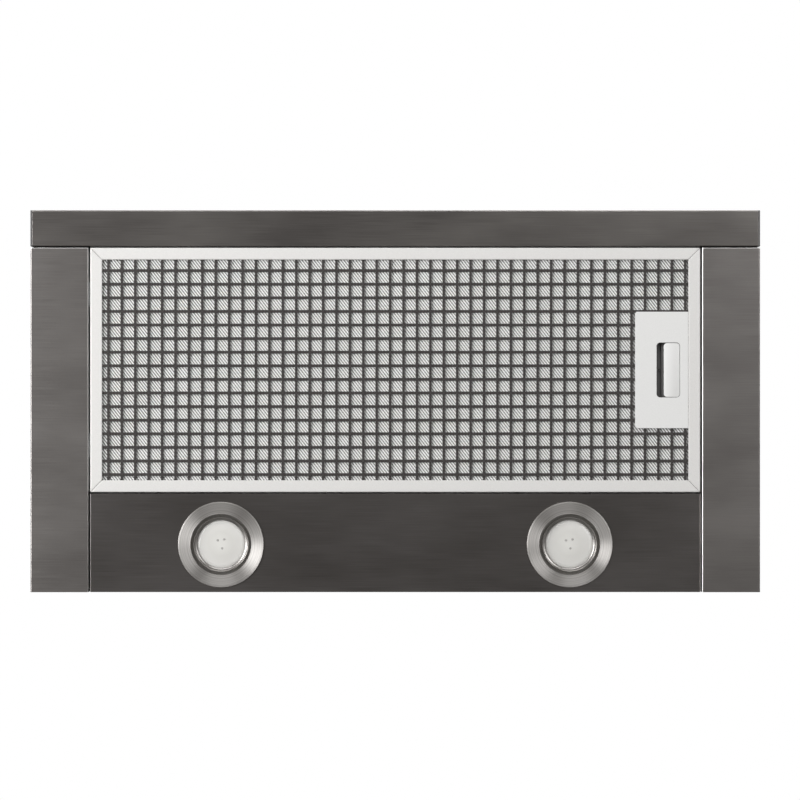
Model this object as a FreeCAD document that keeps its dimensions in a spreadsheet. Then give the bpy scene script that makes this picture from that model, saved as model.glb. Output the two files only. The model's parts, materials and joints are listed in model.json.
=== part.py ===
import FreeCAD, Part
import math
import os
import re

import Sketcher
from FreeCAD import Placement, Rotation, Vector

# Slide-out range hood for a 600 mm wall cabinet, in millimetres.
# X runs along the fascia, -Y is the front, +Y the wall, +Z is up.
# The origin is on the underside, under the middle of the hood.

SIZES = [
    # overall
    ("width", 598, "overall width of the hood"),
    ("depth", 313, "overall depth, fascia to wall, drawer closed"),
    ("body_height", 178, "underside to top plate"),
    ("skirt_height", 50, "height of the fascia and of the side channels"),
    ("sheet", 1.0, "thickness of the steel sheet"),
    ("bend", 0.9, "outside radius of a bend in that sheet"),
    ("seat", 0.3, "gap between pieces of different bodies"),
    ("slip", 0.1, "gap between a screw and its hole"),
    ("over", 1, "how far a cutting shape runs past what it cuts"),
    # plan of the underside
    ("fascia_depth", 29.5, "front to back of the drawer's fascia"),
    ("front_gap", 1.2, "gap between the fascia and the hood behind it"),
    ("side_width", 47.5, "width of a side channel"),
    ("side_gap", 1.4, "gap at each side of the filter"),
    ("filter_gap", 1.2, "gap between the filter and the lamp panel"),
    ("lamp_panel_depth", 80.7, "front to back of the lamp panel"),
    ("panel_recess", 2.0, "rise of the lamp panel above the underside"),
    ("panel_gap", 1.0, "gap at each end of the lamp panel"),
    ("return_height", 12, "height of the inner edge of a side channel"),
    ("lip_height", 10, "height of the turned edges"),
    ("flange_width", 31, "how far the skirt stands out past the upper housing"),
    ("apron_gap", 2, "gap between the visor and the housing's front apron"),
    # filter cassette
    ("filter_rise", 1.0, "underside of the filter above the hood's underside"),
    ("filter_thickness", 9.0, "thickness of the filter cassette"),
    ("frame_face", 9.8, "width of the frame seen from below"),
    ("frame_sheet", 0.8, "wall of the aluminium frame profile"),
    ("frame_bend", 0.72, "outside radius of a bend in the frame profile"),
    ("bolt_play", 0.4, "play of the latch bolt in the frame"),
    ("grille_sheet", 0.8, "thickness of the two grille sheets"),
    ("pitch_x", 11.0, "grille pitch along the hood"),
    ("pitch_y", 11.15, "grille pitch front to back"),
    ("hole_x", 9.0, "grille hole along the hood"),
    ("hole_y", 8.85, "grille hole front to back"),
    ("shift_x", 1.25, "middle of the nearest grille hole right of the centre"),
    ("shift_y", 2.1, "middle of the nearest grille hole behind the centre"),
    ("grille_margin", 0.4, "least distance of a hole from the grille's edge"),
    ("slot_margin", 0.5, "grille opening past the finger slot"),
    ("back_bar", 4, "width of a bar of the back grille"),
    ("tab_width", 20, "width of a hinge tab"),
    ("tab_reach", 3.2, "how far a tab reaches behind the side channel's edge"),
    ("tab_offset", 62, "middle of a tab from the middle of the filter"),
    ("tab_sheet", 0.6, "sheet of a hinge tab"),
    ("tab_drop", 2, "top of a tab under the top of the filter"),
    ("tab_play", 0.5, "play of a tab along its slot"),
    ("tab_way", 10, "top of the tab slots above the underside"),
    # latch
    ("latch_width", 43.5, "latch plate along the hood"),
    ("latch_length", 95.5, "latch plate front to back"),
    ("slot_width", 19.2, "finger slot along the hood"),
    ("slot_length", 45, "finger slot front to back"),
    ("slot_inset", 6.7, "slot from the right edge of the latch plate"),
    ("plate_corner", 2, "radius of the latch plate's corners"),
    ("slot_corner", 3, "radius of the finger slot's corners"),
    ("cup_reach", 14, "cup past the left edge of the finger slot"),
    ("cup_margin", 5, "cup past each end of the finger slot"),
    ("cup_wall", 1.2, "wall of the latch cup"),
    ("bar_play", 0.4, "play of the slider's bar in the finger slot"),
    ("bar_sink", 0.2, "slider's bar above the face of the latch plate"),
    ("base_margin", 3, "slider's base past its bar"),
    ("base_step", 2, "slider's base past the left side of its bar"),
    ("base_rise", 4, "underside of the slider's base above the latch plate's face"),
    ("strike_play", 0.5, "play of the latch bolt in its strike slot's height"),
    ("strike_side", 1, "play of the latch bolt along its strike slot"),
    ("latch_travel", 5.8, "travel of the latch slider"),
    ("bolt_width", 12, "width of the latch bolt"),
    ("bolt_thick", 1.8, "thickness of the latch bolt"),
    ("latch_wire", 0.4, "wire of the latch spring"),
    ("latch_coil", 0.9, "mean radius of the latch spring"),
    ("latch_turns", 12, "turns of the latch spring"),
    # lamps
    ("lamp_spacing", 286, "distance between the two lamps"),
    ("lamp_from_rear", 39, "lamp centre from the rear edge"),
    ("bezel_radius", 35, "outer radius of a lamp bezel"),
    ("bezel_opening", 25, "radius of the bezel's opening"),
    ("bezel_collar", 28, "outer radius of the bezel's collar"),
    ("bezel_drop", 1.4, "how far a bezel stands below the lamp panel"),
    ("bezel_rise", 12, "height of the bezel's collar above the panel"),
    ("bezel_sheet", 1.2, "wall of a lamp bezel"),
    ("bezel_lip", 0.5, "half the thickness of a bezel at its opening"),
    ("bezel_flat", 0.8, "width of the flat round a bezel's opening"),
    ("bezel_rim", 1, "width of the flat at a bezel's outer edge"),
    ("lamp_radius", 19.8, "radius of the lamp's front glass"),
    ("ring_radius", 22.6, "outer radius of the ring that holds the lamp"),
    ("ring_rise", 4, "retaining ring above the lamp panel"),
    ("ring_thick", 2, "thickness of the retaining ring"),
    ("ring_face", 0.8, "front wall of the groove in the retaining ring"),
    ("ring_band", 0.6, "thickness of the retaining ring's band"),
    ("ring_drop", 2.5, "how far that band stands down"),
    ("ring_overlap", 1, "how far the ring reaches over the lamp's edge"),
    ("lamp_rim", 3, "height of the lamp's straight rim"),
    ("lamp_chamfer", 1, "chamfer behind the lamp's rim"),
    ("lamp_neck", 9, "radius of the lamp's neck"),
    ("lamp_neck_height", 6, "height of the lamp's neck"),
    ("lamp_height", 36, "height of the lamp's reflector"),
    ("holder_radius", 12, "radius of the lamp holder"),
    ("holder_height", 16, "height of the lamp holder"),
    # drawer
    ("visor_rise", 14, "underside of the visor above the hood's underside"),
    ("visor_thick", 4, "thickness of the glass visor"),
    ("visor_inset", 15, "visor's side edge from the side of the hood"),
    ("visor_length", 205, "front to back of the visor"),
    ("visor_overlap", 20, "how far the visor reaches into the fascia"),
    ("arm_thick", 2, "thickness of a drawer arm"),
    ("arm_height", 18, "height of a drawer arm"),
    ("arm_rise", 22, "lower edge of a drawer arm above the underside"),
    ("arm_inset", 6, "outer face of an arm from the side of the hood"),
    ("arm_foot", 14, "width of an arm's foot behind the fascia"),
    ("arm_screw_inset", 4.5, "arm screws from the upper and lower edges of an arm"),
    ("rail_depth", 6.5, "how far a rail stands off the side channel's wall"),
    ("rail_height", 26, "height of a rail"),
    ("rail_sheet", 1.2, "wall of a rail"),
    ("rail_front", 3, "front end of a rail behind the front of the hood's body"),
    ("rail_rear", 24, "rear end of a rail from the hood's rear face"),
    ("glide_length", 22, "length of a nylon glide"),
    ("cap_thick", 1.5, "thickness of a fascia end cap"),
    ("plug_depth", 3, "how far a fascia cap reaches into the fascia"),
    ("fascia_lip_gap", 2, "gap between an arm and the fascia's upper lip"),
    ("arm_tail", 25, "rear end of an arm from the hood's rear face"),
    ("clip_length", 20, "length of a visor clip"),
    ("clip_inset", 8, "clip from the fascia or from the visor's rear edge"),
    ("clip_thick", 2, "thickness of a visor clip"),
    ("clip_width", 19, "width of a visor clip"),
    ("clip_rise", 12, "top of a clip above the lower edge of an arm"),
    ("switch_side", 4, "drawer microswitch past the inner face of an arm"),
    ("switch_gap", 4, "drawer microswitch behind the arm"),
    ("switch_inset", 2, "drawer microswitch inside the height of an arm"),
    ("plunger_radius", 1.5, "radius of the microswitch's plunger"),
    # buttons
    ("button_width", 16, "width of a push button"),
    ("button_height", 9, "height of a push button"),
    ("button_length", 12.5, "front to back of a push button"),
    ("button_travel", 3, "travel of a push button"),
    ("button_pitch", 21, "distance between two buttons"),
    ("button_first", 124, "middle of the last button from the hood's right side"),
    ("button_rise", 31, "middle of the buttons above the underside"),
    ("button_edge", 0.5, "rounding of a button's front edges"),
    ("button_collar", 1, "how far a button's collar stands out"),
    ("collar_thick", 1.5, "thickness of a button's collar"),
    ("block_margin", 5, "switch block past the outer buttons"),
    ("block_half", 10, "half the height of the switch block"),
    ("block_gap", 5, "gap between the switch block and the fascia's rear lip"),
    # blower
    ("blower_back", 25, "blower axis behind the middle of the hood"),
    ("blower_gap", 6, "gap between the visor and the blower"),
    ("scroll_headroom", 9, "top of the scroll's round part under the top plate"),
    ("scroll_half", 55, "half the width of the blower"),
    ("scroll_wall", 1.5, "wall of the scroll"),
    ("volute_gap", 18.5, "widest gap between the wheel and the scroll"),
    ("volute_shift", 6, "wheel axis off the middle of the scroll"),
    ("duct_depth", 112, "front to back of the scroll's outlet"),
    ("blower_flange", 12, "blower's flange past each side of the scroll"),
    ("flange_sheet", 2, "thickness of the blower's flange"),
    ("blower_screw_side", 6, "blower screws past each side of the scroll"),
    ("blower_screw_inset", 8, "blower screws from the ends of the flange"),
    ("wheel_half", 42, "half the width of the blower wheel"),
    ("blade_depth", 10, "radial depth of the blades"),
    ("blade_thick", 1.2, "thickness of a blade"),
    ("blade_lean", 7, "how far a blade leans over its depth"),
    ("blade_inset", 0.4, "blades inside the wheel's rings"),
    ("blade_count", 30, "number of blades"),
    ("wheel_ring", 1.6, "width of a ring of the wheel"),
    ("hub_start", 4, "hub disc from the motor"),
    ("hub_disc", 2, "thickness of the hub disc"),
    ("hub_length", 13, "length of the hub"),
    ("hub_wall", 6, "wall of the hub"),
    ("disc_margin", 2, "hub disc inside the wheel's outer radius"),
    ("motor_gap", 8, "gap between the blades and the motor"),
    ("motor_left", -40, "left end of the motor from the middle of the blower"),
    ("motor_right", 10, "right end of the motor from the middle of the blower"),
    ("motor_wall", 2, "wall of the motor's can"),
    ("motor_split", 12, "length of the motor's cover"),
    ("boss_radius", 13, "radius of a bearing boss"),
    ("bearing_radius", 11, "outer radius of a bearing"),
    ("bearing_length", 7, "length of a bearing"),
    ("stator_gap", 2, "gap between the stator and the bearings or the cover"),
    ("air_gap", 0.5, "gap between the stator and the rotor"),
    ("shaft_left", 3, "shaft past the left end of the motor"),
    ("shaft_right", 20, "shaft past the right end of the motor"),
    ("bracket_radius", 14, "radius of the motor bracket's core"),
    ("bracket_sheet", 2, "thickness of the motor bracket"),
    ("bracket_reach", 7, "bracket arms past the inlet"),
    ("bracket_arm", 10, "width of a bracket arm"),
    ("shaft_radius", 4, "radius of the motor shaft"),
    ("shaft_way", 1.5, "play round the shaft where it leaves the motor"),
    ("rotor_radius", 14, "radius of the motor's rotor"),
    ("running", 0.05, "radial clearance of a bearing or a hinge pin"),
    ("inlet_margin", 4, "inlet radius past the inner edge of the blades"),
    ("inlet_wall", 1.5, "wall of an inlet ring's neck"),
    ("inlet_neck", 8, "how far an inlet ring reaches into the scroll"),
    ("inlet_rim", 8, "width of an inlet ring's rim"),
    ("inlet_sheet", 3, "thickness of an inlet ring's rim"),
    # duct spigot and damper
    ("spigot_radius", 59.5, "outer radius of the duct spigot"),
    ("spigot_wall", 2, "wall of the spigot"),
    ("spigot_height", 35, "height of the spigot above the top plate"),
    ("spigot_rim", 14.5, "width of the spigot's flange"),
    ("flange_thick", 2.5, "thickness of the spigot's flange"),
    ("ledge", 2, "width of the ledge that stops the flaps"),
    ("ledge_face", 1, "thickness of that ledge at its edge"),
    ("ledge_root", 3, "thickness of that ledge at the spigot's wall"),
    ("bar_drop", 4, "underside of the spigot's bar under the flaps"),
    ("bar_rise", 2, "top of the spigot's bar above the flaps"),
    ("flap_thick", 1.2, "thickness of a damper flap"),
    ("flap_rise", 16, "damper flaps above the top plate"),
    ("pin_radius", 1.5, "radius of a damper pin"),
    ("barrel_radius", 2.8, "radius of a flap's hinge barrel"),
    ("pin_offset", 5, "damper pin from the middle of the spigot"),
    ("pin_reach", 0.9, "how far a damper pin reaches into the spigot's wall"),
    ("barrel_inset", 6, "end of a hinge barrel from the flap's edge"),
    ("barrel_room", 3, "room cut from a flap beside its barrel's end"),
    ("flap_play", 0.6, "gap between a flap and the spigot's wall"),
    # electrics and fastening
    ("gland_bore", 4.5, "bore radius of the cable gland"),
    ("gland_radius", 9, "radius of the cable gland's body"),
    ("gland_height", 9, "height of the cable gland"),
    ("gland_neck", 7, "radius of the cable gland's neck"),
    ("gland_depth", 4, "cable gland's neck under the top plate"),
    ("nut_radius", 10, "outer radius of the gland's nut"),
    ("nut_height", 3.5, "height of the gland's nut"),
    ("gland_side", 60, "cable gland from the side of the housing"),
    ("gland_rear", 35, "cable gland from the rear"),
    ("terminal_width", 70, "width of the terminal box"),
    ("terminal_depth", 55, "front to back of the terminal box"),
    ("terminal_height", 30, "height of the terminal box without its lid"),
    ("terminal_wall", 2, "wall of the terminal box and of its lid"),
    ("terminal_side", 30, "terminal box from the side of the housing"),
    ("terminal_rear", 70, "terminal box from the rear"),
    ("way_width", 10, "width of one way of the terminal block"),
    ("way_pitch", 12, "pitch of those ways"),
    ("way_length", 22, "front to back of the terminal block"),
    ("way_height", 14, "height of the terminal block"),
    ("capacitor_radius", 15, "radius of the run capacitor"),
    ("capacitor_length", 60, "length of the run capacitor"),
    ("capacitor_side", 60, "run capacitor from the side of the housing"),
    ("capacitor_rear", 90, "run capacitor from the rear"),
    ("cabinet_hole", 2.5, "radius of the holes for the cabinet screws"),
    ("cabinet_hole_inset", 14, "cabinet screws from the side of the hood"),
    ("cabinet_hole_front", 65, "front cabinet screws behind the fascia"),
    ("cabinet_hole_pitch", 170, "front to rear cabinet screws"),
    ("screw_radius", 2, "shank radius of the small screws"),
    ("screw_head", 3.6, "head radius of the small screws"),
    ("screw_head_height", 2.2, "head height of the small screws"),
]

# Places and sizes that follow from the ones in the sheet.
DERIVED = {
    "half": "width / 2",
    "front": "-depth / 2",
    "rear": "depth / 2",
    "fascia_rear": "front + fascia_depth",
    "body_front": "fascia_rear + front_gap",
    "side_inner": "half - side_width",
    "panel_front": "rear - lamp_panel_depth",
    "panel_top": "panel_recess + sheet",
    "panel_half": "side_inner - panel_gap",
    "top_under": "body_height - sheet",
    "housing_half": "half - flange_width",
    # filter
    "filter_half": "side_inner - side_gap",
    "filter_front": "body_front",
    "filter_rear": "panel_front - filter_gap",
    "filter_mid": "(filter_front + filter_rear) / 2",
    "filter_top": "filter_rise + filter_thickness",
    "grille_low": "filter_rise + frame_sheet",
    "mesh_low": "grille_low + grille_sheet",
    "mesh_top": "filter_top - frame_sheet - grille_sheet",
    "inside_half": "filter_half - frame_sheet - seat",
    "inside_front": "filter_front + frame_sheet + seat",
    "inside_rear": "filter_rear - frame_sheet - seat",
    # latch
    "plate_right": "filter_half - frame_face - seat / 2",
    "plate_left": "plate_right - latch_width",
    "slot_right": "plate_right - slot_inset",
    "slot_left": "slot_right - slot_width",
    "slot_half": "slot_length / 2",
    "cup_left": "slot_left - cup_reach",
    "cup_right": "inside_half",
    "cup_half": "slot_half + cup_margin",
    "bar_left": "slot_left + latch_travel + seat",
    "bar_right": "slot_right - bar_play / 2",
    "bar_half": "slot_half - bar_play",
    "base_left": "bar_left - base_step",
    "base_low": "filter_rise + base_rise",
    "base_top": "mesh_top - cup_wall - seat",
    "bolt_low": "(base_low + base_top - bolt_thick) / 2",
    "latch_axis": "(base_low + base_top) / 2",
    # lamps
    "lamp_x": "lamp_spacing / 2",
    "lamp_y": "rear - lamp_from_rear",
    "bezel_low": "panel_recess - bezel_drop",
    "bezel_inner": "bezel_collar - bezel_sheet",
    "ring_low": "panel_top + ring_rise",
    "lamp_low": "ring_low + ring_thick",
    "lamp_top": "lamp_low + lamp_height",
    # drawer
    "visor_top": "visor_rise + visor_thick",
    "visor_half": "half - visor_inset",
    "visor_front": "fascia_rear - visor_overlap",
    "visor_rear": "visor_front + visor_length",
    "arm_outer": "half - arm_inset",
    "arm_inner": "arm_outer - arm_thick",
    "arm_top": "arm_rise + arm_height",
    "arm_rear": "rear - arm_tail",
    "rail_low": "arm_rise + arm_height / 2 - rail_height / 2",
    "rail_top": "rail_low + rail_height",
    "rail_inner": "half - sheet - rail_depth",
    # blower
    "blower_low": "visor_top + blower_gap",
    "scroll_radius": "(top_under - blower_low - scroll_headroom) / 2",
    "scroll_y": "blower_back",
    "scroll_z": "blower_low + scroll_radius",
    "wheel_radius": "scroll_radius - scroll_wall - volute_gap",
    "wheel_y": "scroll_y + volute_shift",
    "wheel_z": "scroll_z - volute_shift",
    "blade_inner": "wheel_radius - blade_depth",
    "motor_radius": "blade_inner - motor_gap",
    "duct_front": "scroll_y - scroll_radius",
    "duct_rear": "duct_front + duct_depth",
    "inlet_radius": "blade_inner + inlet_margin",
    "motor_inside_left": "motor_left + motor_wall",
    "motor_inside_right": "motor_right - motor_wall",
    "motor_seam": "motor_right - motor_split",
    "bracket_face": "-(scroll_half + inlet_sheet)",
    # spigot
    "spigot_y": "duct_front + duct_depth / 2",
    "spigot_bore": "spigot_radius - spigot_wall",
    "flap_z": "body_height + flap_rise",
    "flap_radius": "spigot_bore - flap_play",
    "spigot_flange": "spigot_radius + spigot_rim",
    "ledge_top": "flap_z - flap_thick / 2 - seat",
    "barrel_end": "flap_radius - barrel_inset",
    "bar_reach": "pin_offset - barrel_radius - seat",
    # electrics
    "gland_x": "housing_half - gland_side",
    "gland_y": "rear - gland_rear",
    "terminal_right": "housing_half - terminal_side",
    "terminal_left": "terminal_right - terminal_width",
    "terminal_back": "rear - terminal_rear",
    "terminal_front": "terminal_back - terminal_depth",
    "terminal_low": "top_under - terminal_height",
}

doc = FreeCAD.newDocument("RangeHood")
sheet = doc.addObject("Spreadsheet::Sheet", "Sizes")
for row, (alias, value, note) in enumerate(SIZES, 1):
    sheet.set("A%d" % row, note)
    sheet.set("B%d" % row, str(value))
    sheet.setAlias("B%d" % row, alias)
doc.recompute()

ALIASES = {alias for alias, value, note in SIZES}
NODES = []
CLOSE = 0.01  # two coordinates nearer than this are the same place


# ---------------------------------------------------------------- helpers

def expand(text):
    """Open up the derived names and address the sheet's own names."""
    def swap(match):
        word = match.group(0)
        if word in DERIVED:
            return "(" + expand(DERIVED[word]) + ")"
        if word in ALIASES:
            return "Sizes." + word
        return word
    return re.sub(r"[A-Za-z_]\w*", swap, text)


def size(text):
    """The number that a size or an expression stands for now."""
    return float(sheet.evalExpression(expand(text)))


def bind(item, prop, text):
    item.setExpression(prop, expand(text))


def place(item, x="0", y="0", z="0"):
    """Bind an object's place to three expressions."""
    for axis, text in zip("xyz", (x, y, z)):
        bind(item, "Placement.Base." + axis, text)
    return item


def node(item, label):
    """Name a finished piece; the label is also its file's name."""
    item.Label = label
    NODES.append(item)
    return item


def box(name, x, y, z):
    """A block between three pairs of expressions."""
    item = doc.addObject("Part::Box", name)
    for side, (low, high) in zip(("Length", "Width", "Height"), (x, y, z)):
        bind(item, side, "(%s) - (%s)" % (high, low))
    return place(item, x[0], y[0], z[0])


TURNS = {
    "x": Rotation(Vector(0, 1, 0), 90),
    "y": Rotation(Vector(1, 0, 0), -90),
    "z": Rotation(),
}


def along(axis, start, across):
    """The x, y and z of a point at start on an axis, with the other two across it."""
    spot = list(across)
    spot.insert("xyz".index(axis), start)
    return spot


def rod(name, axis, radius, start, end, across):
    """A cylinder along an axis from start to end."""
    item = doc.addObject("Part::Cylinder", name)
    item.Placement = Placement(Vector(), TURNS[axis])
    bind(item, "Radius", radius)
    bind(item, "Height", "(%s) - (%s)" % (end, start))
    return place(item, *along(axis, start, across))


def fuse(name, items):
    item = doc.addObject("Part::MultiFuse", name)
    item.Shapes = list(items)
    item.Refine = True
    return item


def cut(name, base, tools):
    """The base less the tools."""
    tools = list(tools)
    item = doc.addObject("Part::Cut", name)
    item.Base = base
    item.Tool = tools[0] if len(tools) == 1 else fuse(name + "_tools", tools)
    return item


def common(name, items):
    item = doc.addObject("Part::MultiCommon", name)
    item.Shapes = list(items)
    return item


def group(name, items):
    """Separate solids in one node."""
    item = doc.addObject("Part::Compound", name)
    item.Links = list(items)
    return item


def tube(name, axis, outer, inner, start, end, across):
    return cut(name, rod(name + "_outer", axis, outer, start, end, across),
               [rod(name + "_bore", axis, inner, start, end, across)])


def sketch(body, role, name):
    """A sketch on one of the body's own origin planes."""
    item = body.newObject("Sketcher::SketchObject", name)
    plane = [part for part in body.Origin.OriginFeatures if part.Role == role][0]
    item.AttachmentSupport = [(plane, "")]
    item.MapMode = "FlatFace"
    return item


def outline(item, points):
    """A closed outline through points that are pairs of expressions."""
    corners = [Vector(size(a), size(b), 0) for a, b in points]
    first = item.GeometryCount
    total = len(points)
    for index in range(total):
        item.addGeometry(Part.LineSegment(corners[index], corners[(index + 1) % total]), False)
    for index in range(total):
        item.addConstraint(Sketcher.Constraint("Coincident", first + index, 2,
                                               first + (index + 1) % total, 1))
    for index, (a, b) in enumerate(points):
        corner = corners[index]
        for kind, text, value in (("DistanceX", a, corner.x), ("DistanceY", b, corner.y)):
            spot = item.addConstraint(Sketcher.Constraint(kind, -1, 1, first + index, 1, value))
            bind(item, "Constraints[%d]" % spot, text)


def circle(item, radius, centre=("0", "0")):
    """A full circle whose radius and centre are expressions."""
    middle = Vector(size(centre[0]), size(centre[1]), 0)
    first = item.addGeometry(Part.Circle(middle, Vector(0, 0, 1), size(radius)), False)
    spot = item.addConstraint(Sketcher.Constraint("Radius", first, size(radius)))
    bind(item, "Constraints[%d]" % spot, radius)
    for kind, text, value in (("DistanceX", centre[0], middle.x), ("DistanceY", centre[1], middle.y)):
        spot = item.addConstraint(Sketcher.Constraint(kind, -1, 1, first, 3, value))
        bind(item, "Constraints[%d]" % spot, text)


def padded(name, role, points, start, end):
    """A body: the outline, on a plane across X, Y or Z, padded from start to end."""
    body = doc.addObject("PartDesign::Body", name)
    flat = sketch(body, role, name + "_outline")
    outline(flat, points)
    pad = body.newObject("PartDesign::Pad", name + "_pad")
    pad.Profile = flat
    pad.Reversed = role == "XZ_Plane"
    bind(pad, "Length", "(%s) - (%s)" % (end, start))
    axis = {"YZ_Plane": "x", "XZ_Plane": "y", "XY_Plane": "z"}[role]
    bind(body, "Placement.Base." + axis, start)
    doc.recompute()
    return body


def spun(name, points, across, turns=360):
    """A body: an outline of (radius, height) pairs turned about a vertical axis."""
    body = doc.addObject("PartDesign::Body", name)
    flat = sketch(body, "XZ_Plane", name + "_outline")
    outline(flat, points)
    turn = body.newObject("PartDesign::Revolution", name + "_turn")
    turn.Profile = flat
    turn.ReferenceAxis = (flat, ["V_Axis"])
    turn.Angle = turns
    place(body, *across)
    doc.recompute()
    return body


def rounded(body, radius, test):
    """Round the straight edges for which test(start, end) is true, in the body's own frame."""
    tip = body.Tip
    names = []
    for index, edge in enumerate(tip.Shape.Edges, 1):
        ends = [vertex.Point for vertex in edge.Vertexes]
        if len(ends) == 2 and test(ends[0], ends[1]):
            names.append("Edge%d" % index)
    fillet = body.newObject("PartDesign::Fillet", body.Name + "_round")
    fillet.Base = (tip, names)
    bind(fillet, "Radius", radius)
    doc.recompute()
    return body


def near(value, text):
    return abs(value - size(text)) < CLOSE


def mirrored(item, name):
    """The same piece on the other side of the hood's middle."""
    other = doc.addObject("Part::Mirroring", name)
    other.Source = item
    other.Normal = Vector(1, 0, 0)
    return other


def pair(item, label):
    """A right-hand piece and its mirror image in one node."""
    return node(group(label + "_pair", [item, mirrored(item, label + "_mirror")]), label)


def screws(name, axis, points, seat_at, reach, sign):
    """Pan-head screws: heads stand on the plane seat_at, on the side that sign gives."""
    items = []
    for index, across in enumerate(points):
        label = "%s_%d" % (name, index)
        head = "(%s) + %d * screw_head_height" % (seat_at, sign)
        tip = "(%s) - %d * (%s)" % (seat_at, sign, reach)
        low, high = (seat_at, head) if sign > 0 else (head, seat_at)
        shank_low, shank_high = (tip, seat_at) if sign > 0 else (seat_at, tip)
        items.append(fuse(label, [
            rod(label + "_head", axis, "screw_head", low, high, across),
            rod(label + "_shank", axis, "screw_radius", shank_low, shank_high, across)]))
    return group(name, items)


def holes(name, axis, radius, points, start, end):
    """Cylinders to cut at each of the points."""
    return [rod("%s_%d" % (name, index), axis, radius, start, end, across)
            for index, across in enumerate(points)]


# ---------------------------------------------------------------- casing

def cabinet_screw_points():
    """The four holes in the skirt where the cabinet's screws go through."""
    ys = ("body_front + cabinet_hole_front", "body_front + cabinet_hole_front + cabinet_hole_pitch")
    xs = ("half - cabinet_hole_inset", "-(half - cabinet_hole_inset)")
    return [(x, y) for x in xs for y in ys]


def spigot_screw_points():
    """Four screws in the middle of the flange, half way between the axes."""
    reach = "((spigot_flange + spigot_radius) / 2 * sqrt(0.5))"
    return [("%s%s" % (sx, reach), "spigot_y %s %s" % (sy, reach)) for sx in ("", "-") for sy in "+-"]


def make_housing():
    """Upper housing: a box of folded sheet, open below, with a skirt over the side channels."""
    outer = box("housing_outer", ("-housing_half", "housing_half"), ("body_front", "rear"),
                ("skirt_height", "body_height"))
    skirt = box("housing_skirt", ("-half", "half"), ("body_front", "rear"),
                ("skirt_height", "skirt_height + sheet"))
    apron = box("housing_apron", ("-panel_half", "panel_half"), ("body_front", "body_front + sheet"),
                ("visor_top + apron_gap", "skirt_height + sheet"))
    shell = fuse("housing_shell", [outer, skirt, apron])
    hollow = box("housing_hollow", ("-(housing_half - sheet)", "housing_half - sheet"),
                 ("body_front + sheet", "rear - sheet"), ("skirt_height - sheet", "top_under"))
    across = ("0", "spigot_y")
    tools = [hollow, rod("duct_hole", "z", "spigot_bore", "top_under - sheet", "body_height + sheet", across)]
    tools += holes("cabinet_hole", "z", "cabinet_hole", cabinet_screw_points(),
                   "skirt_height - sheet", "skirt_height + 2 * sheet")
    tools += holes("spigot_hole", "z", "screw_radius + slip", spigot_screw_points(),
                   "top_under - sheet", "body_height + sheet")
    tools += holes("blower_hole", "z", "screw_radius + slip", blower_screw_points(),
                   "top_under - sheet", "body_height + sheet")
    tools.append(rod("gland_hole", "z", "gland_neck + 2 * slip", "top_under - sheet", "body_height + sheet",
                     ("gland_x", "gland_y")))
    node(cut("housing", shell, tools), "housing")


def make_side_channel(side):
    """Side channel: floor, outer wall, low inner edge, front lip and rear wall."""
    name = "side_channel_" + side
    points = [("side_inner", "0"), ("half", "0"), ("half", "skirt_height"),
              ("half - sheet", "skirt_height"), ("half - sheet", "sheet"),
              ("side_inner + sheet", "sheet"), ("side_inner + sheet", "return_height"),
              ("side_inner", "return_height")]
    body = padded(name + "_section", "XZ_Plane", points, "body_front", "rear")
    rounded(body, "bend", lambda a, b: abs(a.y - b.y) > CLOSE and near(a.z, "0") and near(b.z, "0"))
    back = box(name + "_back", ("side_inner + sheet / 2", "half - sheet / 2"), ("rear - sheet", "rear"),
               ("sheet / 2", "skirt_height"))
    lip = box(name + "_lip", ("side_inner + sheet / 2", "half - sheet / 2"),
              ("body_front", "body_front + sheet"), ("sheet / 2", "lip_height"))
    shell = fuse(name + "_shell", [body, back, lip])
    return shell


def make_side_channels():
    """The left channel is slotted for the filter's tabs, the right one for the latch bolt."""
    right = cut("channel_right", make_side_channel("right"), [
        box("strike_slot", ("side_inner - sheet", "side_inner + 2 * sheet"),
            ("filter_mid - bolt_width / 2 - strike_side", "filter_mid + bolt_width / 2 + strike_side"),
            ("bolt_low - strike_play", "bolt_low + bolt_thick + strike_play"))])
    node(right, "side_channel_right")
    slots = []
    for index, sign in enumerate("-+"):
        middle = "filter_mid %s tab_offset" % sign
        slots.append(box("tab_slot_%d" % index, ("side_inner - sheet", "side_inner + 2 * sheet"),
                         (middle + " - tab_width / 2 - tab_play", middle + " + tab_width / 2 + tab_play"),
                         ("sheet", "tab_way")))
    left = cut("channel_left", make_side_channel("left"), slots)
    node(mirrored(left, "channel_left_mirror"), "side_channel_left")


def make_lamp_panel():
    """Lamp panel: recessed sheet with two lamp holes, three turned edges and a tall rear one."""
    points = [("-panel_half", "panel_recess"), ("panel_half", "panel_recess"),
              ("panel_half", "panel_top + lip_height"), ("panel_half - sheet", "panel_top + lip_height"),
              ("panel_half - sheet", "panel_top"), ("-(panel_half - sheet)", "panel_top"),
              ("-(panel_half - sheet)", "panel_top + lip_height"),
              ("-panel_half", "panel_top + lip_height")]
    body = padded("panel_section", "XZ_Plane", points, "panel_front", "rear")
    rounded(body, "bend", lambda a, b: abs(a.y - b.y) > CLOSE and near(a.z, "panel_recess")
            and near(b.z, "panel_recess"))
    across = ("-(panel_half - sheet / 2)", "panel_half - sheet / 2")
    low = "panel_recess + sheet / 2"
    front = box("panel_front_edge", across, ("panel_front", "panel_front + sheet"),
                (low, "panel_top + lip_height"))
    back = box("panel_back", across, ("rear - sheet", "rear"), (low, "skirt_height"))
    shell = fuse("panel_shell", [body, front, back])
    tools = holes("lamp_hole", "z", "bezel_collar + seat", [("lamp_x", "lamp_y"), ("-lamp_x", "lamp_y")],
                  "panel_recess - sheet", "panel_top + sheet")
    node(cut("panel", shell, tools), "lamp_panel")


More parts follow.
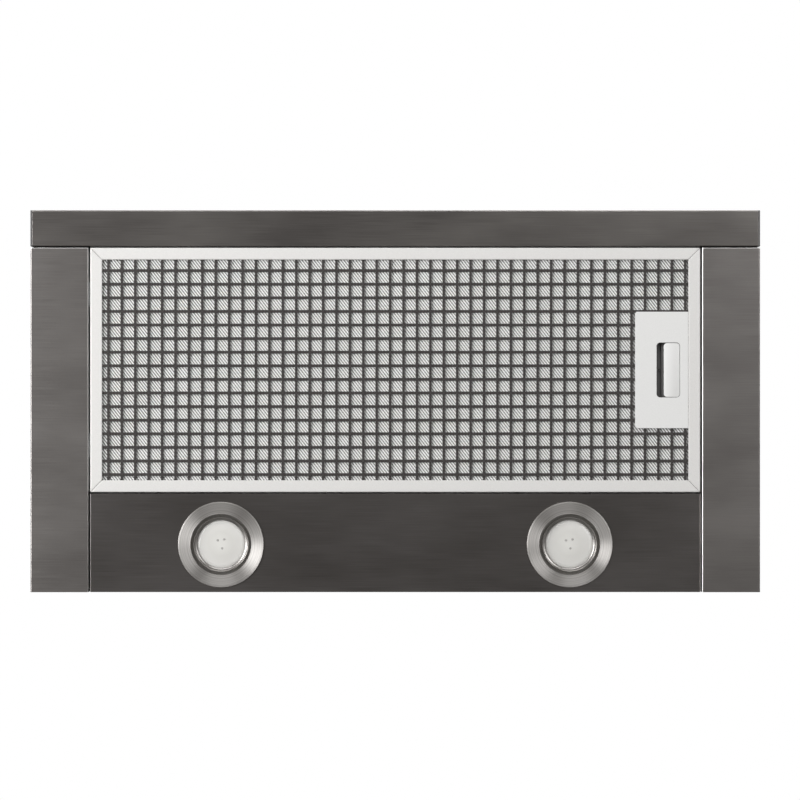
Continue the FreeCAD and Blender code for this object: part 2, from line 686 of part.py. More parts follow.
def make_lamp(side, sign):
    """One recessed lamp: bezel, retaining ring, lamp and holder, each turned round the lamp's axis."""
    across = ("%slamp_x" % sign, "lamp_y", "0")
    bezel = [("bezel_radius", "panel_recess"), ("bezel_collar", "panel_recess"),
             ("bezel_collar", "panel_top + bezel_rise"), ("bezel_inner", "panel_top + bezel_rise"),
             ("bezel_inner", "panel_recess + bezel_sheet"), ("bezel_opening", "panel_recess + bezel_lip"),
             ("bezel_opening", "panel_recess - bezel_lip"),
             ("bezel_opening + bezel_flat", "panel_recess - bezel_lip"),
             ("bezel_radius - bezel_rim", "bezel_low"), ("bezel_radius", "bezel_low")]
    overlap = "lamp_radius - ring_overlap"
    groove = "ring_radius - ring_band"
    ring = [("bezel_inner", "ring_low"), ("bezel_inner", "lamp_low"), (overlap, "lamp_low"),
            (overlap, "ring_low + ring_face"), (groove, "ring_low + ring_face"),
            (groove, "ring_low - ring_drop"), ("ring_radius", "ring_low - ring_drop"),
            ("ring_radius", "ring_low")]
    lamp = [("0", "lamp_low"), ("lamp_radius", "lamp_low"), ("lamp_radius", "lamp_low + lamp_rim"),
            ("lamp_radius - lamp_chamfer", "lamp_low + lamp_rim + lamp_chamfer"),
            ("lamp_neck", "lamp_top - lamp_neck_height"), ("lamp_neck", "lamp_top"), ("0", "lamp_top")]
    holder = [("0", "lamp_top"), ("holder_radius", "lamp_top"),
              ("holder_radius", "lamp_top + holder_height"), ("0", "lamp_top + holder_height")]
    outlines = (("bezel", bezel), ("ring", ring), ("reflector", lamp), ("holder", holder))
    return [spun("%s_%s" % (name, side), points, across) for name, points in outlines]


def make_lamps():
    left, right = make_lamp("left", "-"), make_lamp("right", "")
    node(left[0], "lamp_bezel_left")
    node(right[0], "lamp_bezel_right")
    for label, both in zip(("lamp_rings", "lamp_bulbs", "lamp_holders"), zip(left[1:], right[1:])):
        node(group(label + "_pair", both), label)


# ---------------------------------------------------------------- filter cassette

def make_frame():
    """Four mitred channel profiles round the filter, open towards its inside."""
    corners = {"left": ("-filter_half", "-(filter_half - frame_face)"),
               "right": ("filter_half", "filter_half - frame_face")}
    ends = {"front": ("filter_front", "filter_front + frame_face"),
            "rear": ("filter_rear", "filter_rear - frame_face")}
    for side in ("left", "right", "front", "rear"):
        if side in corners:
            outer, inner = corners[side]
            points = [(outer, "filter_front"), (inner, ends["front"][1]),
                      (inner, ends["rear"][1]), (outer, "filter_rear")]
        else:
            outer, inner = ends[side]
            points = [("-filter_half", outer), (corners["left"][1], inner),
                      (corners["right"][1], inner), ("filter_half", outer)]
        body = padded("frame_%s_block" % side, "XY_Plane", points, "filter_rise", "filter_top")
        rim = size(outer)
        pick = 0 if side in corners else 1
        rounded(body, "frame_bend",
                lambda a, b: abs(a[pick] - rim) < CLOSE and abs(b[pick] - rim) < CLOSE
                and abs(a.z - b.z) < CLOSE)
        name = "frame_" + side
        tools = [box(name + "_hollow", ("-(filter_half - frame_sheet)", "filter_half - frame_sheet"),
                     ("filter_front + frame_sheet", "filter_rear - frame_sheet"),
                     ("filter_rise + frame_sheet", "filter_top - frame_sheet"))]
        if side == "right":
            tools.append(box("bolt_hole", ("filter_half - over - frame_sheet", "filter_half + over"),
                             ("filter_mid - bolt_width / 2 - bolt_play",
                              "filter_mid + bolt_width / 2 + bolt_play"),
                             ("bolt_low - bolt_play", "bolt_low + bolt_thick + bolt_play")))
        node(cut(name, body, tools), "filter_frame_" + side)


def make_grille(label, low, pitch, hole, shift):
    """A flat sheet with rows of square holes; it is left whole round the finger slot."""
    half = size("inside_half")
    y_low, y_high = size("inside_front"), size("inside_rear")
    slot = (size("slot_left - slot_margin"), size("plate_right - plate_corner"))
    slot_reach = size("slot_half + slot_margin")
    margin = size("grille_margin")
    middle = size("filter_mid")
    dx, dy = size(pitch[0]), size(pitch[1])
    wide, deep = size(hole[0]) / 2, size(hole[1]) / 2

    def ring(x0, x1, y0, y1):
        spots = [Vector(x0, y0, 0), Vector(x1, y0, 0), Vector(x1, y1, 0), Vector(x0, y1, 0)]
        return Part.makePolygon(spots + spots[:1])

    wires = [ring(-half, half, y_low, y_high)]
    wires.append(ring(slot[0], slot[1], middle - slot_reach, middle + slot_reach))
    columns = range(-int(half / dx) - 1, int(half / dx) + 2)
    rows = range(-int((y_high - y_low) / dy), int((y_high - y_low) / dy) + 1)
    for column in columns:
        for row in rows:
            x = column * dx + size(shift[0])
            y = middle + row * dy + size(shift[1])
            inside = (abs(x) + wide < half - margin
                      and y_low + margin < y - deep and y + deep < y_high - margin)
            at_slot = (slot[0] - wide - margin < x < slot[1] + wide + margin
                       and abs(y - middle) < slot_reach + deep + margin)
            if inside and not at_slot:
                wires.append(ring(x - wide, x + wide, y - deep, y + deep))
    item = doc.addObject("Part::Feature", label)
    sheet_face = Part.makeFace(wires, "Part::FaceMakerBullseye")
    item.Shape = sheet_face.extrude(Vector(0, 0, size("grille_sheet")))
    place(item, "0", "0", low)
    node(item, label)


def make_filter():
    make_frame()
    make_grille("filter_grille", "grille_low", ("pitch_x", "pitch_y"), ("hole_x", "hole_y"),
                ("shift_x", "shift_y"))
    make_grille("filter_back_grille", "mesh_top", ("2 * pitch_x", "2 * pitch_y"),
                ("2 * pitch_x - back_bar", "2 * pitch_y - back_bar"), ("0", "0"))
    pack = box("mesh_block", ("-inside_half", "inside_half"), ("inside_front", "inside_rear"),
               ("mesh_low", "mesh_top"))
    notch = box("mesh_notch", ("cup_left - seat", "inside_half + over"),
                ("filter_mid - cup_half - seat", "filter_mid + cup_half + seat"),
                ("mesh_low - over", "mesh_top + over"))
    node(cut("mesh", pack, [notch]), "filter_mesh")
    tabs = []
    for index, sign in enumerate("-+"):
        middle = "filter_mid %s tab_offset" % sign
        reach = (middle + " - tab_width / 2", middle + " + tab_width / 2")
        foot = box("tab_foot_%d" % index, ("-(side_inner + tab_reach)", "-filter_half"), reach,
                   ("sheet + seat", "sheet + seat + tab_sheet"))
        leg = box("tab_leg_%d" % index, ("-(filter_half + tab_sheet)", "-filter_half"), reach,
                  ("sheet + seat", "filter_top - tab_drop"))
        tabs.append(fuse("tab_%d" % index, [foot, leg]))
    node(group("tabs", tabs), "filter_hinge_tabs")


def make_latch():
    """Latch: plate with a finger slot, cup above it, sprung slider with its bolt."""
    near_y, far_y = "filter_mid - latch_length / 2", "filter_mid + latch_length / 2"
    points = [("plate_left", near_y), ("plate_right", near_y), ("plate_right", far_y), ("plate_left", far_y)]
    body = padded("plate_blank", "XY_Plane", points, "filter_rise", "grille_low")
    rounded(body, "plate_corner", lambda a, b: abs(a.z - b.z) > CLOSE and near(a.x, "plate_left"))
    slot = padded("slot_blank", "XY_Plane",
                  [("slot_left", "filter_mid - slot_half"), ("slot_right", "filter_mid - slot_half"),
                   ("slot_right", "filter_mid + slot_half"), ("slot_left", "filter_mid + slot_half")],
                  "filter_rise - over", "grille_low + over")
    rounded(slot, "slot_corner", lambda a, b: abs(a.z - b.z) > CLOSE)
    node(cut("plate", body, [slot]), "latch_plate")

    cup = box("cup_outer", ("cup_left", "cup_right"), ("filter_mid - cup_half", "filter_mid + cup_half"),
              ("mesh_low", "mesh_top"))
    tools = [box("cup_hollow", ("cup_left + cup_wall", "cup_right - cup_wall"),
                 ("filter_mid - cup_half + cup_wall", "filter_mid + cup_half - cup_wall"),
                 ("mesh_low - over", "mesh_top - cup_wall")),
             box("cup_bolt_hole", ("cup_right - cup_wall - over", "cup_right + over"),
                 ("filter_mid - bolt_width / 2 - seat", "filter_mid + bolt_width / 2 + seat"),
                 ("bolt_low - seat", "bolt_low + bolt_thick + seat"))]
    node(cut("cup", cup, tools), "latch_cup")

    bar = padded("bar_blank", "XY_Plane",
                 [("bar_left", "filter_mid - bar_half"), ("bar_right", "filter_mid - bar_half"),
                  ("bar_right", "filter_mid + bar_half"), ("bar_left", "filter_mid + bar_half")],
                 "filter_rise + bar_sink", "base_low + seat")
    rounded(bar, "slot_corner - bar_play", lambda a, b: abs(a.z - b.z) > CLOSE)
    base = box("slider_base", ("base_left", "slot_right + base_margin"),
               ("filter_mid - slot_half - base_margin", "filter_mid + slot_half + base_margin"),
               ("base_low", "base_top"))
    bolt = box("slider_bolt", ("slot_right", "side_inner - seat"),
               ("filter_mid - bolt_width / 2", "filter_mid + bolt_width / 2"),
               ("bolt_low", "bolt_low + bolt_thick"))
    node(fuse("slider", [bar, base, bolt]), "latch_slider")

    start = size("cup_left + cup_wall")
    length = size("base_left") - start
    wire = size("latch_wire")
    helix = Part.makeHelix((length - 2 * wire) / size("latch_turns"), length - 2 * wire, size("latch_coil"))
    section = Part.Wire(Part.makeCircle(wire / 2, Vector(size("latch_coil"), 0, 0), Vector(0, 1, 0)))
    coil = Part.Wire(helix).makePipeShell([section], True, True)
    item = doc.addObject("Part::Feature", "spring")
    item.Shape = coil
    item.Placement = Placement(Vector(), TURNS["x"])
    place(item, "cup_left + cup_wall + latch_wire", "filter_mid", "latch_axis")
    node(item, "latch_spring")


# ---------------------------------------------------------------- drawer

BUTTONS = ("off", "low", "medium", "high", "light")


def button_x(index):
    """The buttons stand in a row; the last one is nearest the hood's right side."""
    return "half - button_first - %d * button_pitch" % (len(BUTTONS) - 1 - index)


def button_block(name, index, grow, start, end):
    x = button_x(index)
    wide = " button_width / 2 + %s" % grow
    tall = " button_height / 2 + %s" % grow
    return box(name, (x + " - (%s)" % wide, x + " + (%s)" % wide), (start, end),
               ("button_rise - (%s)" % tall, "button_rise + (%s)" % tall))


def make_fascia():
    """Fascia: a channel of folded sheet, open to the rear, with the button holes."""
    lip = "arm_top + fascia_lip_gap"
    points = [("front", "0"), ("fascia_rear", "0"), ("fascia_rear", "lip_height"),
              ("fascia_rear - sheet", "lip_height"), ("fascia_rear - sheet", "sheet"),
              ("front + sheet", "sheet"), ("front + sheet", "skirt_height - sheet"),
              ("fascia_rear - sheet", "skirt_height - sheet"), ("fascia_rear - sheet", lip),
              ("fascia_rear", lip), ("fascia_rear", "skirt_height"), ("front", "skirt_height")]
    body = padded("fascia_section", "YZ_Plane", points, "-(half - cap_thick)", "half - cap_thick")
    rims = ((size("front"), 0.0), (size("fascia_rear"), 0.0),
            (size("front"), size("skirt_height")), (size("fascia_rear"), size("skirt_height")))

    def at_rim(point):
        return any(abs(point.y - y) < CLOSE and abs(point.z - z) < CLOSE for y, z in rims)

    rounded(body, "bend", lambda a, b: abs(a.x - b.x) > CLOSE and at_rim(a) and at_rim(b))
    tools = [button_block("button_hole_%d" % index, index, "seat", "front - over", "front + sheet + over")
             for index in range(len(BUTTONS))]
    node(cut("fascia", body, tools), "fascia")
    cap = padded("cap_blank", "YZ_Plane",
                 [("front", "0"), ("fascia_rear", "0"), ("fascia_rear", "skirt_height"),
                  ("front", "skirt_height")], "half - cap_thick", "half")
    rounded(cap, "bend", lambda a, b: abs(a.x - b.x) > CLOSE)
    plug = box("cap_plug", ("half - cap_thick - plug_depth", "half - cap_thick"),
               ("front + sheet + slip", "fascia_rear - sheet - slip"),
               ("sheet + slip", "skirt_height - sheet - slip"))
    pair(fuse("cap", [cap, plug]), "fascia_caps")


def arm_screw_points():
    x = "arm_inner - arm_foot / 2"
    return [(x, "arm_rise + arm_screw_inset"), (x, "arm_top - arm_screw_inset")]


def make_drawer():
    """Visor, arms, clips, rails and glides; the left ones mirror the right ones."""
    foot = ("front + sheet", "front + sheet + arm_thick")
    bar = box("arm_bar", ("arm_inner", "arm_outer"), ("front + sheet", "arm_rear"), ("arm_rise", "arm_top"))
    tab = box("arm_tab", ("arm_inner - arm_foot", "arm_inner"), foot, ("arm_rise", "arm_top"))
    arm = cut("arm", fuse("arm_blank", [bar, tab]),
              holes("arm_hole", "y", "screw_radius + slip", arm_screw_points(), "front", foot[1] + " + over"))
    node(arm, "drawer_arm_right")
    node(mirrored(arm, "arm_mirror"), "drawer_arm_left")
    points = arm_screw_points() + [("-(%s)" % x, z) for x, z in arm_screw_points()]
    node(screws("arm_screws", "y", points, foot[1], "arm_thick", 1), "drawer_arm_screws")

    node(box("visor", ("-visor_half", "visor_half"), ("visor_front", "visor_rear"),
             ("visor_rise", "visor_top")), "visor")
    clips = []
    for index, start in enumerate(("fascia_rear + clip_inset", "visor_rear - clip_length - clip_inset")):
        reach = (start, start + " + clip_length")
        upright = box("clip_upright_%d" % index, ("arm_inner - clip_thick", "arm_inner"), reach,
                      ("visor_top", "arm_rise + clip_rise"))
        flat = box("clip_flat_%d" % index, ("arm_inner - clip_width", "arm_inner"), reach,
                   ("visor_top", "visor_top + clip_thick"))
        clip = fuse("clip_%d" % index, [upright, flat])
        clips += [clip, mirrored(clip, "clip_mirror_%d" % index)]
    node(group("clips", clips), "visor_clips")

    wall = "half - sheet"
    web = "half - sheet - rail_sheet"
    rail = padded("rail", "XZ_Plane",
                  [("rail_inner", "rail_low"), (wall, "rail_low"), (wall, "rail_top"),
                   ("rail_inner", "rail_top"), ("rail_inner", "rail_top - rail_sheet"),
                   (web, "rail_top - rail_sheet"), (web, "rail_low + rail_sheet"),
                   ("rail_inner", "rail_low + rail_sheet")],
                  "body_front + rail_front", "rear - rail_rear")
    pair(rail, "drawer_rails")
    start = "body_front + rail_front"
    front_block = box("front_glide_block", ("rail_inner", web), (start, start + " + glide_length"),
                      ("rail_low + rail_sheet", "rail_top - rail_sheet"))
    way = box("front_glide_way", ("rail_inner - over", "arm_outer + seat"), ("body_front", "rear"),
              ("arm_rise - seat", "arm_top + seat"))
    pair(cut("front_glide", front_block, [way]), "front_glides")
    rear_glide = box("rear_glide", ("arm_outer", web + " - seat"), ("arm_rear - glide_length", "arm_rear"),
                     ("rail_low + rail_sheet + seat", "rail_top - rail_sheet - seat"))
    pair(rear_glide, "rear_glides")
    switch = box("switch_body", ("arm_inner - switch_side", web + " - over"),
                 ("arm_rear + switch_gap", "rear - sheet"),
                 ("arm_rise + switch_inset", "arm_top - switch_inset"))
    plunger = rod("switch_plunger", "y", "plunger_radius", "arm_rear + seat", "arm_rear + switch_gap + over",
                  ("(arm_inner + arm_outer) / 2", "(arm_rise + arm_top) / 2"))
    node(fuse("switch", [switch, plunger]), "drawer_microswitch")


def make_buttons():
    """Five push buttons in the fascia, each in a chamber of the switch block behind it."""
    chambers = []
    for index, title in enumerate(BUTTONS):
        x = button_x(index)
        wide = "button_width / 2"
        tall = "button_height / 2"
        body = padded("button_%s_stem" % title, "XZ_Plane",
                      [("%s - %s" % (x, wide), "button_rise - " + tall),
                       ("%s + %s" % (x, wide), "button_rise - " + tall),
                       ("%s + %s" % (x, wide), "button_rise + " + tall),
                       ("%s - %s" % (x, wide), "button_rise + " + tall)],
                      "front", "front + button_length")
        rounded(body, "button_edge", lambda a, b: near(a.y, "0") and near(b.y, "0"))
        collar = button_block("button_%s_collar" % title, index, "button_collar", "front + sheet + seat",
                              "front + sheet + seat + collar_thick")
        node(fuse("button_" + title, [body, collar]), "button_" + title)
        chambers.append(button_block("chamber_%d" % index, index, "button_collar + seat",
                                     "front + sheet - over", "front + button_length + button_travel + over"))
    past = "button_width / 2 + block_margin"
    block = box("switch_block_blank",
                ("%s - (%s)" % (button_x(0), past), "%s + %s" % (button_x(len(BUTTONS) - 1), past)),
                ("front + sheet", "fascia_rear - sheet - block_gap"),
                ("button_rise - block_half", "button_rise + block_half"))
    node(cut("switch_block", block, chambers), "switch_block")


# ---------------------------------------------------------------- blower

def blower_screw_points():
    return [(x, y) for x in ("scroll_half + blower_screw_side", "-(scroll_half + blower_screw_side)")
            for y in ("duct_front + blower_screw_inset", "duct_rear - blower_screw_inset")]


def make_scroll():
    """Scroll: a round casing with a square outlet up to the top plate, split in the middle."""
    def casing(name, inset, top):
        across = ("scroll_y", "scroll_z")
        half = "(scroll_half - %s)" % inset
        drum = rod(name + "_drum", "x", "scroll_radius - " + inset, "-" + half, half, across)
        duct = box(name + "_duct", ("-" + half, half), ("duct_front + " + inset, "duct_rear - " + inset),
                   ("scroll_z", top))
        return fuse(name, [drum, duct])

    flange = box("scroll_flange", ("-(scroll_half + blower_flange)", "scroll_half + blower_flange"),
                 ("duct_front", "duct_rear"), ("top_under - flange_sheet", "top_under"))
    tools = [casing("scroll_inside", "scroll_wall", "top_under + over"),
             rod("scroll_inlets", "x", "inlet_radius + inlet_wall + slip", "-(scroll_half + over)",
                 "scroll_half + over", ("wheel_y", "wheel_z"))]
    tools += holes("flange_hole", "z", "screw_radius + slip", blower_screw_points(),
                   "top_under - flange_sheet - over", "top_under + over")
    shell = cut("scroll_shell", fuse("scroll_outside", [casing("scroll_solid", "0", "top_under"), flange]),
                tools)
    for side, reach in (("left", ("-half", "0")), ("right", ("0", "half"))):
        part = box("scroll_%s_side" % side, reach, ("front", "rear"), ("0", "body_height"))
        node(common("scroll_" + side, [shell, part]), "scroll_" + side)
    across = ("wheel_y", "wheel_z")
    ring = cut("inlet", fuse("inlet_blank", [
        rod("inlet_rim", "x", "inlet_radius + inlet_rim", "scroll_half", "scroll_half + inlet_sheet", across),
        rod("inlet_neck", "x", "inlet_radius + inlet_wall", "scroll_half - inlet_neck", "scroll_half + over",
            across)]),
        [rod("inlet_bore", "x", "inlet_radius", "scroll_half - inlet_neck - over",
             "scroll_half + inlet_sheet + over", across)])
    pair(ring, "inlet_rings")


def make_wheel():
    """Blower wheel: hub disc, blades in a polar pattern and a ring at each end."""
    body = doc.addObject("PartDesign::Body", "wheel")
    place(body, "0", "wheel_y", "wheel_z")

    def slab(name, start, end, draw):
        flat = sketch(body, "YZ_Plane", name + "_outline")
        bind(flat, "AttachmentOffset.Base.z", start)
        draw(flat)
        pad = body.newObject("PartDesign::Pad", name)
        pad.Profile = flat
        bind(pad, "Length", "(%s) - (%s)" % (end, start))
        doc.recompute()
        return pad

    def disc(radius, bore):
        def draw(flat):
            circle(flat, radius)
            circle(flat, bore)
        return draw

    def blade(flat):
        inner, outer = "blade_inner + blade_inset", "wheel_radius - blade_inset"
        outline(flat, [(inner, "0"), (outer, "blade_lean"), (outer, "blade_lean + blade_thick"),
                       (inner, "blade_thick")])

    start = "motor_right + hub_start"
    bore = "shaft_radius + slip / 2"
    slab("wheel_disc", start, start + " + hub_disc", disc("wheel_radius - disc_margin", bore))
    slab("wheel_hub", start + " + hub_disc / 2", start + " + hub_disc / 2 + hub_length",
         disc("shaft_radius + hub_wall", bore))
    one = slab("wheel_blade", "-wheel_half", "wheel_half", blade)
    ring = body.newObject("PartDesign::PolarPattern", "wheel_blades")
    ring.Originals = [one]
    axis = [part for part in body.Origin.OriginFeatures if part.Role == "X_Axis"][0]
    ring.Axis = (axis, [""])
    ring.Angle = 360
    ring.Occurrences = int(size("blade_count"))
    body.Tip = ring
    doc.recompute()
    slab("wheel_ring_left", "-wheel_half", "wheel_ring - wheel_half", disc("wheel_radius", "blade_inner"))
    slab("wheel_ring_right", "wheel_half - wheel_ring", "wheel_half", disc("wheel_radius", "blade_inner"))
    node(body, "blower_wheel")


BRACKET_ARMS = 3


def make_motor():
    """Motor inside the wheel, carried by a three-armed bracket on the left inlet ring."""
    across = ("wheel_y", "wheel_z")
    left_in, right_in = "motor_inside_left", "motor_inside_right"
    outer = rod("motor_outer", "x", "motor_radius", "motor_left", "motor_right", across)
    inside = rod("motor_inside", "x", "motor_radius - motor_wall", left_in, right_in, across)
    hollow = cut("motor_hollow", inside, [
        rod("motor_boss_left", "x", "boss_radius", left_in, left_in + " + bearing_length", across),
        rod("motor_boss_right", "x", "boss_radius", right_in + " - bearing_length", right_in, across)])
    shell = cut("motor_shell", outer, [
        hollow,
        rod("motor_seat_left", "x", "bearing_radius", left_in, left_in + " + bearing_length + over", across),
        rod("motor_seat_right", "x", "bearing_radius", right_in + " - bearing_length - over", right_in,
            across),
        rod("motor_shaft_way", "x", "shaft_radius + shaft_way", "motor_left - over", "motor_right + over",
            across)])
    for title, reach in (("motor_can", ("-half", "motor_seam")), ("motor_cover", ("motor_seam", "half"))):
        side = box(title + "_side", reach, ("front", "rear"), ("0", "body_height"))
        node(common(title + "_part", [shell, side]), title)
    node(group("bearings", [
        tube("bearing_left", "x", "bearing_radius", "shaft_radius + running", left_in,
             left_in + " + bearing_length", across),
        tube("bearing_right", "x", "bearing_radius", "shaft_radius + running", right_in + " - bearing_length",
             right_in, across)]), "motor_bearings")
    core = (left_in + " + bearing_length + stator_gap", "motor_seam - stator_gap")
    node(tube("stator", "x", "motor_radius - motor_wall", "rotor_radius + air_gap", core[0], core[1], across),
         "motor_stator")
    node(tube("rotor", "x", "rotor_radius", "shaft_radius + slip / 2", core[0], core[1], across),
         "motor_rotor")
    node(rod("shaft", "x", "shaft_radius", "motor_left - shaft_left", "motor_right + shaft_right", across),
         "motor_shaft")

    outer_face = "bracket_face - bracket_sheet"
    items = [rod("bracket_core", "x", "bracket_radius", "bracket_face", "motor_left", across),
             rod("bracket_disc", "x", "bracket_radius", outer_face, "bracket_face", across)]
    for index in range(BRACKET_ARMS):
        arm = doc.addObject("Part::Box", "bracket_arm_%d" % index)
        turn = 90 + 360 / BRACKET_ARMS * index
        lean = math.radians(turn)
        arm.Placement = Placement(Vector(), Rotation(Vector(1, 0, 0), turn))
        bind(arm, "Length", "bracket_sheet")
        bind(arm, "Width", "inlet_radius + bracket_reach")
        bind(arm, "Height", "bracket_arm")
        # the arm's centre line starts on the axis, so its corner is half its height to one side
        place(arm, outer_face, "wheel_y + bracket_arm / 2 * %.6f" % math.sin(lean),
              "wheel_z - bracket_arm / 2 * %.6f" % math.cos(lean))
        items.append(arm)
    bore = rod("bracket_bore", "x", "shaft_radius + motor_wall", outer_face + " - over", "motor_left + over",
               across)
    node(cut("bracket", fuse("bracket_blank", items), [bore]), "motor_bracket")


# ---------------------------------------------------------------- duct spigot and damper

def make_spigot():
    """Duct spigot with a flange, a stop ledge for the flaps and a middle bar between their pins."""
    across = ("0", "spigot_y", "0")
    points = [("spigot_bore", "body_height"), ("spigot_flange", "body_height"),
              ("spigot_flange", "body_height + flange_thick"),
              ("spigot_radius", "body_height + flange_thick"),
              ("spigot_radius", "body_height + spigot_height"),
              ("spigot_bore", "body_height + spigot_height"),
              ("spigot_bore", "ledge_top"), ("spigot_bore - ledge", "ledge_top"),
              ("spigot_bore - ledge", "ledge_top - ledge_face"), ("spigot_bore", "ledge_top - ledge_root")]
    body = spun("spigot_ring", points, across)
    bar = box("spigot_bar", ("-(spigot_bore + over)", "spigot_bore + over"),
              ("spigot_y - (bar_reach)", "spigot_y + bar_reach"), ("flap_z - bar_drop", "flap_z + bar_rise"))
    tools = holes("spigot_screw_hole", "z", "screw_radius + slip", spigot_screw_points(),
                  "body_height - over", "body_height + flange_thick + over")
    for index, sign in enumerate("-+"):
        tools.append(rod("pin_way_%d" % index, "x", "pin_radius + slip / 2", "-(spigot_bore + over)",
                         "spigot_bore + over", ("spigot_y %s pin_offset" % sign, "flap_z")))
    node(cut("spigot", fuse("spigot_blank", [body, bar]), tools), "duct_spigot")
    pins = [rod("pin_%d" % index, "x", "pin_radius", "-(spigot_bore + pin_reach)", "spigot_bore + pin_reach",
                ("spigot_y %s pin_offset" % sign, "flap_z")) for index, sign in enumerate("-+")]
    node(group("pins", pins), "damper_pins")
    node(group("top_screws", [
        screws("spigot_screws", "z", spigot_screw_points(), "body_height + flange_thick",
               "flange_thick + sheet", 1),
        screws("blower_screws", "z", blower_screw_points(), "top_under - flange_sheet",
               "flange_sheet + sheet", -1)]), "top_plate_screws")


def make_flap(side, sign):
    """A half-round damper flap on a barrel that turns on its pin."""
    middle = "spigot_y %s pin_offset" % sign
    reach = {"-": ("spigot_y - spigot_radius", middle), "+": (middle, "spigot_y + spigot_radius")}[sign]
    tall = ("flap_z - barrel_radius - over", "flap_z + barrel_radius + over")
    disc = rod(side + "_disc", "z", "flap_radius", "flap_z - flap_thick / 2", "flap_z + flap_thick / 2",
               ("0", "spigot_y"))
    part = box(side + "_half", ("-spigot_radius", "spigot_radius"), reach, tall)
    trimmed = common(side + "_plate", [disc, part])
    barrel = rod(side + "_barrel", "x", "barrel_radius", "-barrel_end", "barrel_end", (middle, "flap_z"))
    tools = [rod(side + "_way", "x", "pin_radius + running", "-spigot_radius", "spigot_radius",
                 (middle, "flap_z"))]
    for index, along_pin in enumerate((("barrel_end", "spigot_radius"), ("-spigot_radius", "-barrel_end"))):
        tools.append(box("%s_end_%d" % (side, index), along_pin,
                         (middle + " - barrel_room", middle + " + barrel_room"), tall))
    node(cut(side + "_flap", fuse(side + "_blank", [trimmed, barrel]), tools), "damper_flap_" + side)


# ---------------------------------------------------------------- electrics

def make_electrics():
    """Cable gland, terminal box with its lid and block, and run capacitor, all on the top plate."""
    across = ("gland_x", "gland_y")
    below = "top_under - gland_depth"
    above = "body_height + gland_height"
    gland = fuse("gland_blank", [rod("gland_head", "z", "gland_radius", "body_height", above, across),
                                 rod("gland_neck_rod", "z", "gland_neck", below, above, across)])
    way = rod("gland_way", "z", "gland_bore", below + " - over", above + " + over", across)
    node(cut("gland", gland, [way]), "cable_gland")
    node(tube("gland_nut", "z", "nut_radius", "gland_neck + slip", "top_under - nut_height", "top_under",
              across), "gland_nut")

    plan = ("terminal_left", "terminal_right"), ("terminal_front", "terminal_back")
    hollow = [("%s + terminal_wall" % low, "%s - terminal_wall" % high) for low, high in plan]
    base = cut("terminal_blank", box("terminal_outer", plan[0], plan[1], ("terminal_low", "top_under")),
               [box("terminal_hollow", hollow[0], hollow[1],
                    ("terminal_low - over", "top_under - terminal_wall"))])
    node(base, "terminal_box")
    node(box("terminal_lid", plan[0], plan[1], ("terminal_low - terminal_wall", "terminal_low")),
         "terminal_lid")
    blocks = []
    for index in range(3):
        middle = "(terminal_left + terminal_right) / 2 + (%d) * way_pitch" % (index - 1)
        reach = (middle + " - way_width / 2", middle + " + way_width / 2")
        blocks.append(box("terminal_block_%d" % index, reach,
                          ("(terminal_front + terminal_back - way_length) / 2",
                           "(terminal_front + terminal_back + way_length) / 2"),
                          ("top_under - terminal_wall - way_height", "top_under - terminal_wall")))
    node(group("terminals", blocks), "terminal_block")
    node(rod("capacitor", "z", "capacitor_radius", "top_under - capacitor_length", "top_under",
             ("-(housing_half - capacitor_side)", "rear - capacitor_rear")), "run_capacitor")


def finish():
    doc.recompute()
    for item in doc.Objects:
        if {"Invalid", "Error"} & set(item.State):
            raise ValueError("%s (%s) failed: %s" % (item.Name, item.Label, item.State))
    os.makedirs("parts", exist_ok=True)
    for item in NODES:
        if item.Shape.isNull() or not item.Shape.isValid() or not item.Shape.Solids:
            raise ValueError("bad shape in " + item.Label)
        item.Shape.exportStep("parts/%s.step" % item.Label)
        bound = item.Shape.BoundBox
        print("%-22s %2d solids  x %7.1f %7.1f  y %7.1f %7.1f  z %6.1f %6.1f" % (
            item.Label, len(item.Shape.Solids), bound.XMin, bound.XMax, bound.YMin, bound.YMax,
            bound.ZMin, bound.ZMax))


make_housing()
make_side_channels()
make_lamp_panel()
make_lamps()
make_filter()
make_latch()
make_fascia()
make_drawer()
make_buttons()
make_scroll()
make_wheel()
make_motor()
make_spigot()
make_flap("front", "-")
make_flap("rear", "+")
make_electrics()
finish()
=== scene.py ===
import json
import math

import bmesh
import bpy
from mathutils import Matrix, Vector


